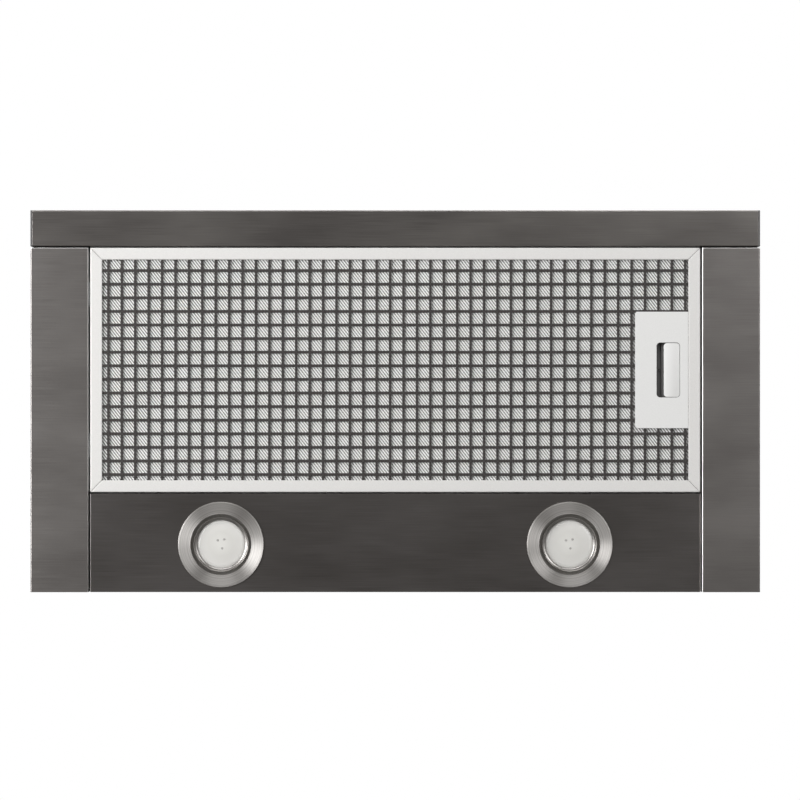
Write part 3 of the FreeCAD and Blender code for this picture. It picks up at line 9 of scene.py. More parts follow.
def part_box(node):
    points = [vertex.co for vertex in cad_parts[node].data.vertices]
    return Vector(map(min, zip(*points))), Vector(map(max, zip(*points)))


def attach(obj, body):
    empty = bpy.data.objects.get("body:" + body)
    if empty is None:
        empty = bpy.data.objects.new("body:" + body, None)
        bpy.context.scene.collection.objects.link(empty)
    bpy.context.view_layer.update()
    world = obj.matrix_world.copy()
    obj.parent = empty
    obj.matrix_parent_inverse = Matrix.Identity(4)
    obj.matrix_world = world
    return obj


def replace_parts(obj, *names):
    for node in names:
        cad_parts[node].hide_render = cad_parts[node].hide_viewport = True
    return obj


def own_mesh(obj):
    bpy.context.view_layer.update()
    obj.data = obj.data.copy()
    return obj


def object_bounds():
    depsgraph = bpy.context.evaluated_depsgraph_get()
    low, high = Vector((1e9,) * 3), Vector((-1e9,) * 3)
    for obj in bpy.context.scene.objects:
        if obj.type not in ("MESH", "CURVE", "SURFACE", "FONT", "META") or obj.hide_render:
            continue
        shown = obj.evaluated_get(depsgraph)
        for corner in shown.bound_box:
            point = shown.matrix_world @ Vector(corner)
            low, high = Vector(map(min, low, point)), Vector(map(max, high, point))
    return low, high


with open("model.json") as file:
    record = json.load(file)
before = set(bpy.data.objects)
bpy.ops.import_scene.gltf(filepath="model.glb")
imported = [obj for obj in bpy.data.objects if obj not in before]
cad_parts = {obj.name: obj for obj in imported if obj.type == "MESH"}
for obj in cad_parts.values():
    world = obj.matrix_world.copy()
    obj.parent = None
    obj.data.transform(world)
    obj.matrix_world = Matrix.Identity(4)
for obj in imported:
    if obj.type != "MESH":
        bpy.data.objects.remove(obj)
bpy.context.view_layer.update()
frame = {"nodes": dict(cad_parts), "record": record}
nodes = frame["nodes"]
MM = 0.001


# ---------------------------------------------------------------- small tools

def srgb(code):
    """A hex colour in sRGB as linear red, green, blue and alpha."""
    parts = [int(code[i:i + 2], 16) / 255 for i in (0, 2, 4)]
    return [c / 12.92 if c <= 0.04045 else ((c + 0.055) / 1.055) ** 2.4 for c in parts] + [1.0]


def material(name, **sockets):
    """A material with a Principled shader; uniform values are set on its own sockets."""
    made = bpy.data.materials.new(name)
    made.use_nodes = True
    tree = made.node_tree
    shader = tree.nodes["Principled BSDF"]
    for key, value in sockets.items():
        shader.inputs[key.replace("_", " ")].default_value = value
    return made, tree, shader


def add(tree, kind, links=None, stops=(), **settings):
    """A node of the given kind, with its settings, its inputs' links or values, and a ramp's stops."""
    node = tree.nodes.new(kind)
    for key, value in settings.items():
        setattr(node, key, value)
    for key, value in (links or {}).items():
        if isinstance(value, bpy.types.NodeSocket):
            tree.links.new(value, node.inputs[key])
        else:
            node.inputs[key].default_value = value
    for index, (place, code) in enumerate(stops):
        elements = node.color_ramp.elements
        element = elements[index] if index < 2 else elements.new(place)
        element.position, element.color = place, srgb(code)
    return node


def select_only(piece):
    """Make one piece the only selected and active object."""
    bpy.ops.object.select_all(action="DESELECT")
    piece.select_set(True)
    bpy.context.view_layer.objects.active = piece


def settle(piece, name):
    """Name a new piece and put its place, turn and scale into its mesh."""
    piece.name = piece.data.name = name
    select_only(piece)
    bpy.ops.object.transform_apply(location=True, rotation=True, scale=True)
    return piece


def cube(name, low, high):
    """A block between two corners, ready to be shaped."""
    middle = [(a + b) / 2 for a, b in zip(low, high)]
    size = [b - a for a, b in zip(low, high)]
    bpy.ops.object.select_all(action="DESELECT")
    bpy.ops.mesh.primitive_cube_add(size=1, location=middle, scale=size)
    return settle(bpy.context.object, name)


def modify(piece, kind, **settings):
    """Add a modifier with its settings and apply it."""
    select_only(piece)
    modifier = piece.modifiers.new(kind.lower(), kind)
    for key, value in settings.items():
        setattr(modifier, key, value)
    bpy.ops.object.modifier_apply(modifier=modifier.name)
    return piece


def soften(piece, width, segments=2, angle=30):
    """Round a piece's sharp edges and shade the rest smooth."""
    modify(piece, "BEVEL", width=width, segments=segments, limit_method="ANGLE",
           angle_limit=math.radians(angle))
    bpy.ops.object.shade_smooth_by_angle(angle=math.radians(angle))
    return piece


def rings(name, centre, outline, steps=64, closed=False):
    """A turned piece: a circle extruded through (radius, height) pairs about a vertical axis.
    A radius of zero closes a pole; closed joins the last ring to the first."""
    radius, height = outline[0]
    bpy.ops.object.select_all(action="DESELECT")
    bpy.ops.mesh.primitive_circle_add(vertices=steps, radius=max(radius, 1e-6),
                                      location=(centre[0], centre[1], height))
    piece = bpy.context.object
    bpy.ops.object.mode_set(mode="EDIT")
    bpy.ops.mesh.select_all(action="SELECT")
    now = max(radius, 1e-6)
    for radius, height_next in outline[1:]:
        radius = max(radius, 1e-6)
        bpy.ops.mesh.extrude_region_move(
            TRANSFORM_OT_translate={"value": (0, 0, height_next - height)})
        bpy.ops.transform.resize(value=(radius / now, radius / now, 1),
                                 center_override=(centre[0], centre[1], height_next))
        now, height = radius, height_next
    if closed:
        bpy.ops.mesh.select_all(action="DESELECT")
        bpy.ops.mesh.select_non_manifold()
        bpy.ops.mesh.bridge_edge_loops()
    bpy.ops.mesh.select_all(action="SELECT")
    bpy.ops.mesh.remove_doubles(threshold=4e-6)
    bpy.ops.mesh.normals_make_consistent(inside=False)
    bpy.ops.object.mode_set(mode="OBJECT")
    settle(piece, name)
    bpy.ops.object.shade_smooth_by_angle(angle=math.radians(35))
    return piece


def join(name, pieces):
    """Make several pieces one object, whose parts stay separate solids."""
    bpy.ops.object.select_all(action="DESELECT")
    for piece in pieces:
        piece.select_set(True)
    bpy.context.view_layer.objects.active = pieces[0]
    bpy.ops.object.join()
    pieces[0].name = pieces[0].data.name = name
    return pieces[0]


def finish_piece(piece, body, finish):
    """Give a new piece its body and its material."""
    piece.data.materials.clear()
    piece.data.materials.append(finish)
    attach(piece, body)
    return piece


# ---------------------------------------------------------------- places read from the frame

HOOD_LOW, HOOD_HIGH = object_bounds()
WIDTH = HOOD_HIGH.x - HOOD_LOW.x
FILTER_LOW, FILTER_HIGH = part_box("filter_frame_left")[0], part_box("filter_frame_right")[1]
MESH_LOW, MESH_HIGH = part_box("filter_mesh")
CUP_LOW, CUP_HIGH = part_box("latch_cup")
BEZEL_LOW, BEZEL_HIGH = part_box("lamp_bezel_right")
LAMP = (BEZEL_LOW + BEZEL_HIGH) / 2
RING_LOW, RING_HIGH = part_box("lamp_rings")
BULB_LOW, BULB_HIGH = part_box("lamp_bulbs")


# ---------------------------------------------------------------- studio

FLOOR_SIZE, FLOOR_DROP = 32, 8      # metres; low enough for a view from under the hood
SOFTBOXES = [                       # name, place and size in metres, watts
    ("left_softbox", (-1.75, -0.3, -1.3), (1.2, 1.4), 44),
    ("right_softbox", (1.4, -0.6, -1.9), (1.0, 1.0), 12),
    ("front_softbox", (-0.2, -1.8, -1.6), (1.8, 0.9), 21),
    ("rear_softbox", (0.1, 2.1, -1.7), (1.6, 0.8), 1.5),
    ("top_softbox", (0.8, -1.6, 2.6), (2.2, 2.2), 40),
    ("back_softbox", (-1.4, 2.2, 1.8), (1.8, 1.8), 25)]


def make_camera():
    """Straight on from below, with the front of the hood at the top of the picture."""
    distance = 3.0                  # metres
    margin = 1.0963                 # picture's width over the hood's
    aside, ahead = 3.9 * MM, -1.0 * MM
    data = bpy.data.cameras.new("camera")
    data.sensor_width = 36
    data.lens = data.sensor_width * distance / (WIDTH * margin)
    data.clip_end = 100
    camera = bpy.data.objects.new("camera", data)
    bpy.context.scene.collection.objects.link(camera)
    camera.location = (aside, ahead, -distance)
    camera.rotation_euler = (math.pi, 0, 0)
    bpy.context.scene.camera = camera


def make_softbox(name, place, size, power):
    """A soft light aimed at the hood, which the camera sees neither directly nor through glass."""
    data = bpy.data.lights.new(name, "AREA")
    data.shape = "RECTANGLE"
    data.size, data.size_y = size
    data.energy = power
    lamp = bpy.data.objects.new(name, data)
    bpy.context.scene.collection.objects.link(lamp)
    lamp.location = place
    lamp.rotation_euler = (-Vector(place)).to_track_quat("-Z", "Y").to_euler()
    lamp.visible_camera = lamp.visible_transmission = False


def make_studio():
    """A pale floor far below, a plain surround, and softboxes below and above the hood."""
    bpy.ops.object.select_all(action="DESELECT")
    bpy.ops.mesh.primitive_plane_add(size=FLOOR_SIZE, location=(0, 0, -FLOOR_DROP))
    floor = settle(bpy.context.object, "studio_floor")
    finish, tree, shader = material("matt_floor_paint", Roughness=0.9)
    grain = add(tree, "ShaderNodeTexNoise", {"Scale": 3.0, "Detail": 4.0})
    tone = add(tree, "ShaderNodeValToRGB", {"Fac": grain.outputs["Fac"]},
               [(0.3, "c0bfbd"), (0.7, "cac9c7")])
    tree.links.new(tone.outputs["Color"], shader.inputs["Base Color"])
    floor.data.materials.append(finish)

    world = bpy.data.worlds.new("studio")
    bpy.context.scene.world = world
    world.use_nodes = True
    tree = world.node_tree
    surround = tree.nodes["Background"]
    direction = add(tree, "ShaderNodeTexCoord")
    upward = add(tree, "ShaderNodeSeparateXYZ", {0: direction.outputs["Generated"]})
    height = add(tree, "ShaderNodeMapRange", {"Value": upward.outputs["Z"], "From Min": -1.0})
    walls = add(tree, "ShaderNodeValToRGB", {"Fac": height.outputs["Result"]}, [
        (0.5, "5d5c5a"), (0.54, "b0aeac"), (0.72, "b0aeac"), (0.8, "5d5c5a")])
    tree.links.new(walls.outputs["Color"], surround.inputs["Color"])
    # The surround that lights the hood is grey; the empty background behind it is plain white.
    backdrop = add(tree, "ShaderNodeBackground", {"Color": (1, 1, 1, 1), "Strength": 1.0})
    path = add(tree, "ShaderNodeLightPath")
    mix = add(tree, "ShaderNodeMixShader", {0: path.outputs["Is Camera Ray"],
                                            1: surround.outputs[0], 2: backdrop.outputs[0]})
    tree.links.new(mix.outputs[0], tree.nodes["World Output"].inputs["Surface"])
    bpy.context.scene.view_settings.view_transform = "Standard"

    for softbox in SOFTBOXES:
        make_softbox(*softbox)


# ---------------------------------------------------------------- finishes

def object_place(tree, scale=(1, 1, 1)):
    """Object coordinates in metres, scaled."""
    spot = add(tree, "ShaderNodeTexCoord")
    return add(tree, "ShaderNodeMapping", {"Vector": spot.outputs["Object"],
                                           "Scale": scale}).outputs[0]


def finish_surface(tree, shader, tone, height, relief, stops, rough, edge=0.35):
    """Colour from a ramp over tone, gloss and relief from height, and edges rounded for the light."""
    colour = add(tree, "ShaderNodeValToRGB", {"Fac": tone}, stops)
    tree.links.new(colour.outputs["Color"], shader.inputs["Base Color"])
    gloss = add(tree, "ShaderNodeMapRange", {"Value": height, "To Min": rough - 0.05,
                                             "To Max": rough + 0.07})
    tree.links.new(gloss.outputs["Result"], shader.inputs["Roughness"])
    edges = add(tree, "ShaderNodeBevel", {"Radius": edge * MM}, samples=4)
    rise = add(tree, "ShaderNodeBump", {"Height": height, "Strength": relief, "Distance": 0.05 * MM,
                                        "Normal": edges.outputs["Normal"]})
    tree.links.new(rise.outputs["Normal"], shader.inputs["Normal"])


def painted_bend_highlights(tree, shader, foot, highlight_lines):
    """Painted highlights on bends at the foot of a sheet, a paler colour in place of the light a bend
    catches: (axis, place from the middle, half width).
    """
    spot = add(tree, "ShaderNodeSeparateXYZ", {0: object_place(tree)})
    sheet = 0.9 * MM
    under = add(tree, "ShaderNodeMath", {0: spot.outputs["Z"], 1: foot, 2: sheet},
                operation="COMPARE")
    for axis, place, reach in highlight_lines:
        side = spot.outputs[axis]
        if axis == "X":
            side = add(tree, "ShaderNodeMath", {0: side}, operation="ABSOLUTE").outputs[0]
        near = add(tree, "ShaderNodeMath", {0: side, 1: place, 2: reach},
                   operation="COMPARE").outputs[0]
        both = add(tree, "ShaderNodeMath", {0: near, 1: under.outputs[0]}, operation="MULTIPLY")
        # The paler colour is a painted highlight for the light that a bend catches.
        paler = add(tree, "ShaderNodeMixRGB", {
            "Fac": both.outputs[0], "Color1": shader.inputs["Base Color"].links[0].from_socket,
            "Color2": srgb("f0efee")})
        tree.links.new(paler.outputs[0], shader.inputs["Base Color"])


def brushed_steel(name, dark, pale, rough=0.3, foot=0, highlight_lines=()):
    """Brushed stainless sheet: fine scratches along the hood, with faint cloudy patches of tone."""
    finish, tree, shader = material(name, Metallic=1.0, Roughness=rough)
    # Scratches 0.4 mm apart are coarser than real ones, so that they show from a distance.
    scratch_long, scratch_wide = 45 * MM, 0.4 * MM
    scratch = add(tree, "ShaderNodeTexNoise", {
        "Vector": object_place(tree, (1 / scratch_long, 1 / scratch_wide, 1 / scratch_wide)),
        "Scale": 1.0, "Detail": 3.0, "Roughness": 0.6}).outputs["Fac"]
    # Patches of about 140 by 60 mm, from rolling and handling.
    cloud = add(tree, "ShaderNodeTexNoise", {"Vector": object_place(tree, (7, 16, 16)), "Scale": 1.0,
                                             "Detail": 3.0}).outputs["Fac"]
    tone = add(tree, "ShaderNodeMix", {"A": scratch, "B": cloud, "Factor": 0.72}).outputs[0]
    finish_surface(tree, shader, tone, scratch, 0.1, [(0.36, dark), (0.64, pale)], rough, edge=0.5)
    # Painted highlights: pale lines on the bends in place of the light they catch.
    painted_bend_highlights(tree, shader, foot, highlight_lines)
    return finish


def plain_finish(name, dark, pale, metallic, rough, grain, relief=0.15, **sockets):
    """A plain surface with a fine grain in mm: tone, gloss and relief follow one noise."""
    finish, tree, shader = material(name, Metallic=metallic, Roughness=rough, **sockets)
    noise = add(tree, "ShaderNodeTexNoise", {"Vector": object_place(tree), "Scale": 1 / (grain * MM),
                                             "Detail": 4.0, "Roughness": 0.6}).outputs["Fac"]
    finish_surface(tree, shader, noise, noise, relief, [(0.3, dark), (0.7, pale)], rough)
    return finish


def rolled_frame(name):
    """Satin rolled aluminium, almost white, with rounded shoulders and a dark line at each mitre."""
    # Metallic is far below that of bare metal, to match a frame that looks nearly white.
    finish, tree, shader = material(name, Metallic=0.15, Roughness=0.42)
    grain = add(tree, "ShaderNodeTexNoise", {"Vector": object_place(tree),
                                             "Scale": 1 / (0.6 * MM), "Detail": 4.0}).outputs["Fac"]
    finish_surface(tree, shader, grain, grain, 0.05, [(0.3, "e5e4e2"), (0.7, "edecea")], 0.42,
                   edge=1.6)
    low, high = FILTER_LOW, FILTER_HIGH
    mitre_line = 0.16 * MM
    spot = add(tree, "ShaderNodeSeparateXYZ", {0: object_place(tree)})
    across = add(tree, "ShaderNodeMath", {0: spot.outputs["X"]}, operation="ABSOLUTE")
    depth = add(tree, "ShaderNodeMath", {0: spot.outputs["Y"], 1: (low.y + high.y) / 2},
                operation="SUBTRACT")
    depth = add(tree, "ShaderNodeMath", {0: depth.outputs[0]}, operation="ABSOLUTE")
    apart = add(tree, "ShaderNodeMath", {0: across.outputs[0], 1: depth.outputs[0]},
                operation="SUBTRACT")
    mitre = add(tree, "ShaderNodeMath", {0: apart.outputs[0], 1: high.x - (high.y - low.y) / 2,
                                         2: mitre_line}, operation="COMPARE")
    both = add(tree, "ShaderNodeMixRGB", {
        "Fac": mitre.outputs[0], "Color1": shader.inputs["Base Color"].links[0].from_socket,
        "Color2": srgb("a8a6a3")})
    tree.links.new(both.outputs[0], shader.inputs["Base Color"])
    return finish


def spangled_zinc(name):
    """Hot-dip galvanised sheet: crystal patches of 8 mm, each with its own tone and gloss."""
    finish, tree, shader = material(name, Metallic=0.85, Roughness=0.42)
    cells = add(tree, "ShaderNodeTexVoronoi", {"Vector": object_place(tree), "Scale": 1 / (8 * MM)})
    patch = add(tree, "ShaderNodeSeparateColor", {"Color": cells.outputs["Color"]})
    fine = add(tree, "ShaderNodeTexNoise", {"Vector": object_place(tree), "Scale": 1 / (1.2 * MM),
                                            "Detail": 3.0}).outputs["Fac"]
    tone = add(tree, "ShaderNodeMix", {"A": patch.outputs[0], "B": fine, "Factor": 0.5}).outputs[0]
    height = add(tree, "ShaderNodeMix", {"A": patch.outputs[1], "B": fine, "Factor": 0.3}).outputs[0]
    finish_surface(tree, shader, tone, height, 0.08, [(0.2, "9b9fa2"), (0.8, "b9bcbe")], 0.42)
    return finish


def round_lamp(tree, sign):
    """Place in the plane of the panel from a lamp's axis, and the distance from it."""
    spot = add(tree, "ShaderNodeTexCoord")
    axis = (sign * LAMP.x, LAMP.y, 0)
    away = add(tree, "ShaderNodeVectorMath", {0: spot.outputs["Object"], 1: axis},
               operation="SUBTRACT")
    flat = add(tree, "ShaderNodeVectorMath", {0: away.outputs[0], 1: (1, 1, 0)},
               operation="MULTIPLY")
    length = add(tree, "ShaderNodeVectorMath", {0: flat.outputs[0]}, operation="LENGTH")
    return flat.outputs[0], length.outputs["Value"]


def turned_steel(name, sign):
    """Turned stainless: circular tool marks spread each light into a fan across the face."""
    # The tangent runs outwards, so the gloss is wide across the marks and tight along them.
    finish, tree, shader = material(name, Metallic=1.0, Roughness=0.45, Anisotropic=0.85)
    flat, radius = round_lamp(tree, sign)
    # Marks 0.5 mm apart are coarser than real ones, so that they show.
    mark_pitch = 0.5 * MM
    marks = add(tree, "ShaderNodeMath", {0: radius, 1: 1 / mark_pitch}, operation="MULTIPLY")
    grooves = add(tree, "ShaderNodeTexNoise", {"W": marks.outputs[0], "Scale": 1.0, "Detail": 2.0},
                  noise_dimensions="1D").outputs["Fac"]
    finish_surface(tree, shader, grooves, grooves, 0.12, [(0.3, "b9b6b3"), (0.7, "dfdcd9")], 0.45)
    out = add(tree, "ShaderNodeVectorMath", {0: flat}, operation="NORMALIZE")
    tree.links.new(out.outputs[0], shader.inputs["Tangent"])
    return finish


def frosted_glass(name, sign):
    """Frosted lamp glass: pale and soft, darker to the rim, with a faint ripple behind."""
    finish, tree, shader = material(name, Roughness=0.35, IOR=1.5, Coat_Weight=0.5,
                                    Coat_Roughness=0.1)
    flat, radius = round_lamp(tree, sign)
    rim, ripple_size = 20 * MM, 7 * MM
    reach = add(tree, "ShaderNodeMapRange", {"Value": radius, "From Max": rim}).outputs["Result"]
    ripple = add(tree, "ShaderNodeTexNoise", {"Vector": flat, "Scale": 1 / ripple_size,
                                              "Detail": 2.0})
    tone = add(tree, "ShaderNodeMix", {"A": reach, "B": ripple.outputs["Fac"],
                                       "Factor": 0.2}).outputs[0]
    finish_surface(tree, shader, tone, ripple.outputs["Fac"], 0.1,
                   [(0.1, "e4e3df"), (0.5, "dad9d5"), (0.9, "e2e1de"), (1.0, "bdbbb8")], 0.35)
    return finish


def clear_glass(name):
    """Toughened glass: clear with a faint green tint and a fire-polished face."""
    finish, tree, shader = material(name, Roughness=0.08, IOR=1.52, Transmission_Weight=1.0)
    # Faint waves of about 40 mm, closer than the real ones, so that a few cross the visor.
    wave = add(tree, "ShaderNodeTexNoise", {"Vector": object_place(tree),
                                            "Scale": 25.0}).outputs["Fac"]
    finish_surface(tree, shader, wave, wave, 0.02, [(0.3, "dfeae6"), (0.7, "e6f0ec")], 0.08,
                   edge=0.8)
    return finish


def printed_button(name, piece_name, marks):
    """Grey button with a pale symbol of bars and rings: each is a kind, its offset from the
    middle or its radius, and its half width, in mm."""
    finish, tree, shader = material(name, Roughness=0.42)
    low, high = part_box(piece_name)
    middle = (low + high) / 2
    spot = add(tree, "ShaderNodeSeparateXYZ", {0: object_place(tree)})
    x = add(tree, "ShaderNodeMath", {0: spot.outputs["X"], 1: middle.x},
            operation="SUBTRACT").outputs[0]
    z = add(tree, "ShaderNodeMath", {0: spot.outputs["Z"], 1: middle.z},
            operation="SUBTRACT").outputs[0]
    flat = add(tree, "ShaderNodeCombineXYZ", {0: x, 1: z})
    radius = add(tree, "ShaderNodeVectorMath", {0: flat.outputs[0]},
                 operation="LENGTH").outputs["Value"]
    bar_half_height = 1.7 * MM
    shown = 0.0
    for kind, place, reach in marks:
        value = {"bar": x, "ring": radius}[kind]
        mark = add(tree, "ShaderNodeMath", {0: value, 1: place * MM, 2: reach * MM},
                   operation="COMPARE").outputs[0]
        if kind == "bar":
            tall = add(tree, "ShaderNodeMath", {0: z, 1: 0.0, 2: bar_half_height},
                       operation="COMPARE")
            mark = add(tree, "ShaderNodeMath", {0: mark, 1: tall.outputs[0]},
                       operation="MULTIPLY").outputs[0]
        shown = add(tree, "ShaderNodeMath", {0: mark, 1: shown}, operation="MAXIMUM").outputs[0]
    fine = add(tree, "ShaderNodeTexNoise", {"Vector": object_place(tree), "Scale": 1 / (0.35 * MM)})
    tone = add(tree, "ShaderNodeMix", {"A": fine.outputs["Fac"], "B": shown,
                                       "Factor": 0.75}).outputs[0]
    finish_surface(tree, shader, tone, fine.outputs["Fac"], 0.12,
                   [(0.05, "565555"), (0.2, "646363"), (0.6, "dddcda")], 0.42)
    return finish


# ---------------------------------------------------------------- expanded mesh of the filter

# The diamonds and strands are coarser than in a real pack of layers, so that they can be told apart.
DIAMOND_X, DIAMOND_Y = 2.45 * MM, 3.15 * MM
STRAND_THICK = 0.28 * MM
STRAND_TILT = 0.3                   # radians about a strand's own length, as the slitting leaves it


def trim(piece, low, high):
    """Cut a piece to a rectangle and close its cut ends."""
    select_only(piece)
    bpy.ops.object.mode_set(mode="EDIT")
    for place, normal in (((low[0], 0, 0), (-1, 0, 0)), ((high[0], 0, 0), (1, 0, 0)),
                          ((0, low[1], 0), (0, -1, 0)), ((0, high[1], 0), (0, 1, 0))):
        bpy.ops.mesh.select_all(action="SELECT")
        bpy.ops.mesh.bisect(plane_co=place, plane_no=normal, clear_outer=True, use_fill=True)
    bpy.ops.object.mode_set(mode="OBJECT")
    return piece


def strands(name, low, high, height, slope, phase, wide):
    """Parallel strands that cross a rectangle; slope is 1 or -1 for the two directions."""
    lean = math.atan2(DIAMOND_Y, DIAMOND_X) * slope
    depth = high[1] - low[1]
    run = depth / abs(math.tan(lean))
    count = int((high[0] - low[0] + run) / DIAMOND_X) + 3
    start = low[0] - (run if slope > 0 else 0) - DIAMOND_X
    middle = (start + run / 2 + phase * DIAMOND_X, (low[1] + high[1]) / 2, height)
    bpy.ops.object.select_all(action="DESELECT")
    overrun = 4 * MM
    bpy.ops.mesh.primitive_cube_add(size=1, location=middle, scale=(
        depth / abs(math.sin(lean)) + overrun, wide, STRAND_THICK))
    strand = bpy.context.object
    tilt = Matrix.Rotation(math.copysign(STRAND_TILT, slope), 4, "X")
    strand.rotation_euler = (Matrix.Rotation(lean, 4, "Z") @ tilt).to_euler()
    settle(strand, name)
    modify(strand, "ARRAY", count=count, use_relative_offset=False, use_constant_offset=True,
           constant_offset_displace=(DIAMOND_X, 0, 0))
    return trim(strand, low, high)


def make_expanded_mesh(bright, shaded, deep, core_finish):
    """Two layers of crossing strands, clear of the latch cup, over a finer core."""
    edge = 0.4 * MM
    blocks = [((MESH_LOW.x, MESH_LOW.y), (CUP_LOW.x - edge, MESH_HIGH.y)),
              ((CUP_LOW.x - edge, MESH_LOW.y), (MESH_HIGH.x, CUP_LOW.y - edge)),
              ((CUP_LOW.x - edge, CUP_HIGH.y + edge), (MESH_HIGH.x, MESH_HIGH.y))]
    # Title, rise from the foot in mm, phase in diamonds, slope, width in mm, finish.
    families = [("near_bright", 0.6, 0.0, 1, 1.1, bright),
                ("near_cross", 1.1, 0.25, -1, 0.5, shaded),
                ("far_bright", 2.2, 0.5, 1, 0.7, deep),
                ("far_cross", 2.7, 0.5, -1, 0.7, deep)]
    for title, rise, phase, slope, wide, finish in families:
        parts = []
        for low, high in blocks:
            shift = phase - (low[0] - MESH_LOW.x) / DIAMOND_X % 1
            parts.append(strands("strand", low, high, MESH_LOW.z + rise * MM, slope, shift,
                                 wide * MM))
        sheet = finish_piece(join("expanded_mesh_" + title, parts), "filter", finish)
        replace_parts(sheet, "filter_mesh")
    inset, edge_round = 0.1 * MM, 0.3 * MM
    foot, top = MESH_LOW.z + 3.6 * MM, MESH_HIGH.z - 0.3 * MM
    cores = [soften(cube("core", (low[0] + inset, low[1] + inset, foot),
                         (high[0] - inset, high[1] - inset, top)), edge_round)
             for low, high in blocks]
    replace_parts(finish_piece(join("mesh_core", cores), "filter", core_finish), "filter_mesh")


def mesh_core_finish(name):
    """Deeper layers of expanded mesh, too fine to tell apart: dark grey as painted shade down in the
    pack, with paler diamonds.
    """
    finish, tree, shader = material(name, Metallic=0.2, Roughness=0.6)
    turned = object_place(tree, (1 / DIAMOND_X, 1 / DIAMOND_Y, 1))
    parts = add(tree, "ShaderNodeSeparateXYZ", {0: turned})
    waves = []
    for kind in ("ADD", "SUBTRACT"):
        line = add(tree, "ShaderNodeMath", {0: parts.outputs["X"], 1: parts.outputs["Y"]},
                   operation=kind)
        waves.append(add(tree, "ShaderNodeMath", {0: line.outputs[0], 1: 1.0}, operation="PINGPONG"))
    both = add(tree, "ShaderNodeMath", {0: waves[0].outputs[0], 1: waves[1].outputs[0]},
               operation="MULTIPLY").outputs[0]
    finish_surface(tree, shader, both, both, 0.3, [(0.05, "6f6d6b"), (0.6, "3d3b3a")], 0.6)
    return finish


# ---------------------------------------------------------------- lamps

PIN_PLACES = [(-2.8, -3.3), (2.5, -4.1), (0.8, 3.3)]      # mm from the lamp's axis


def make_lamp(side, sign, glass, pin_finish, holder_finish):
    """Domed frosted glass with its reflector, three low pads on it that stand for the contact
    pins behind the glass, and the ribbed holder."""
    centre = (sign * LAMP.x, LAMP.y)
    foot, top = BULB_LOW.z, BULB_HIGH.z
    radius = BULB_HIGH.x - LAMP.x
    lamp = rings("lamp_glass_" + side, centre, [
        (0, foot - 2.0 * MM), (radius * 0.5, foot - 1.8 * MM), (radius * 0.85, foot - 1.2 * MM),
        (radius * 0.97, foot - 0.6 * MM), (radius, foot), (radius, foot + 3.0 * MM),
        (radius - 1.5 * MM, foot + 5.0 * MM), (14 * MM, foot + 17 * MM), (9 * MM, foot + 30 * MM),
        (9 * MM, top), (0, top)])
    finish_piece(lamp, "hood", glass)
    pins = []
    for x, y in PIN_PLACES:
        pins.append(rings("pin", (centre[0] + x * MM, centre[1] + y * MM), [
            (0, foot - 2.15 * MM), (0.7 * MM, foot - 2.12 * MM), (1.0 * MM, foot - 2.0 * MM),
            (1.0 * MM, foot - 1.4 * MM), (0, foot - 1.4 * MM)], steps=16))
    pin = finish_piece(join("lamp_pins_" + side, pins), "hood", pin_finish)
    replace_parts(lamp, "lamp_bulbs")
    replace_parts(pin, "lamp_bulbs")

    low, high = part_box("lamp_holders")
    wide = high.x - LAMP.x
    groove = wide - 1.2 * MM
    outline = [(0, low.z), (wide - 1 * MM, low.z), (wide, low.z + 1 * MM)]
    for rib in (4, 8):
        outline += [(wide, low.z + rib * MM), (groove, low.z + (rib + 0.8) * MM),
                    (groove, low.z + (rib + 1.6) * MM), (wide, low.z + (rib + 2.4) * MM)]
    outline += [(wide, high.z - 1.5 * MM), (wide - 1.5 * MM, high.z), (0, high.z)]
    holder = rings("lamp_holder_" + side, centre, outline)
    finish_piece(holder, "hood", holder_finish)
    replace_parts(holder, "lamp_holders")


def make_ring(side, sign, finish):
    """Retaining ring: flange behind the bezel, lip round the glass, band with a rounded foot."""
    low, high = RING_LOW.z, RING_HIGH.z
    flange = RING_HIGH.x - LAMP.x
    step = low + 2.5 * MM
    band = flange - 4.2 * MM
    ring = rings("lamp_ring_" + side, (sign * LAMP.x, LAMP.y), [
        (flange, step), (flange, high), (band - 2.7 * MM, high), (band - 2.7 * MM, high - 1.2 * MM),
        (band - 2.2 * MM, high - 1.6 * MM), (band - 0.9 * MM, high - 1.7 * MM),
        (band - 0.6 * MM, low + 0.2 * MM), (band - 0.45 * MM, low), (band - 0.15 * MM, low),
        (band, low + 0.2 * MM), (band, step)], closed=True)
    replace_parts(finish_piece(ring, "hood", finish), "lamp_rings")


# ---------------------------------------------------------------- latch slider

GRIP_CORNER, GRIP_CROWN, GRIP_EDGE = 2.6 * MM, 24 * MM, 0.9 * MM

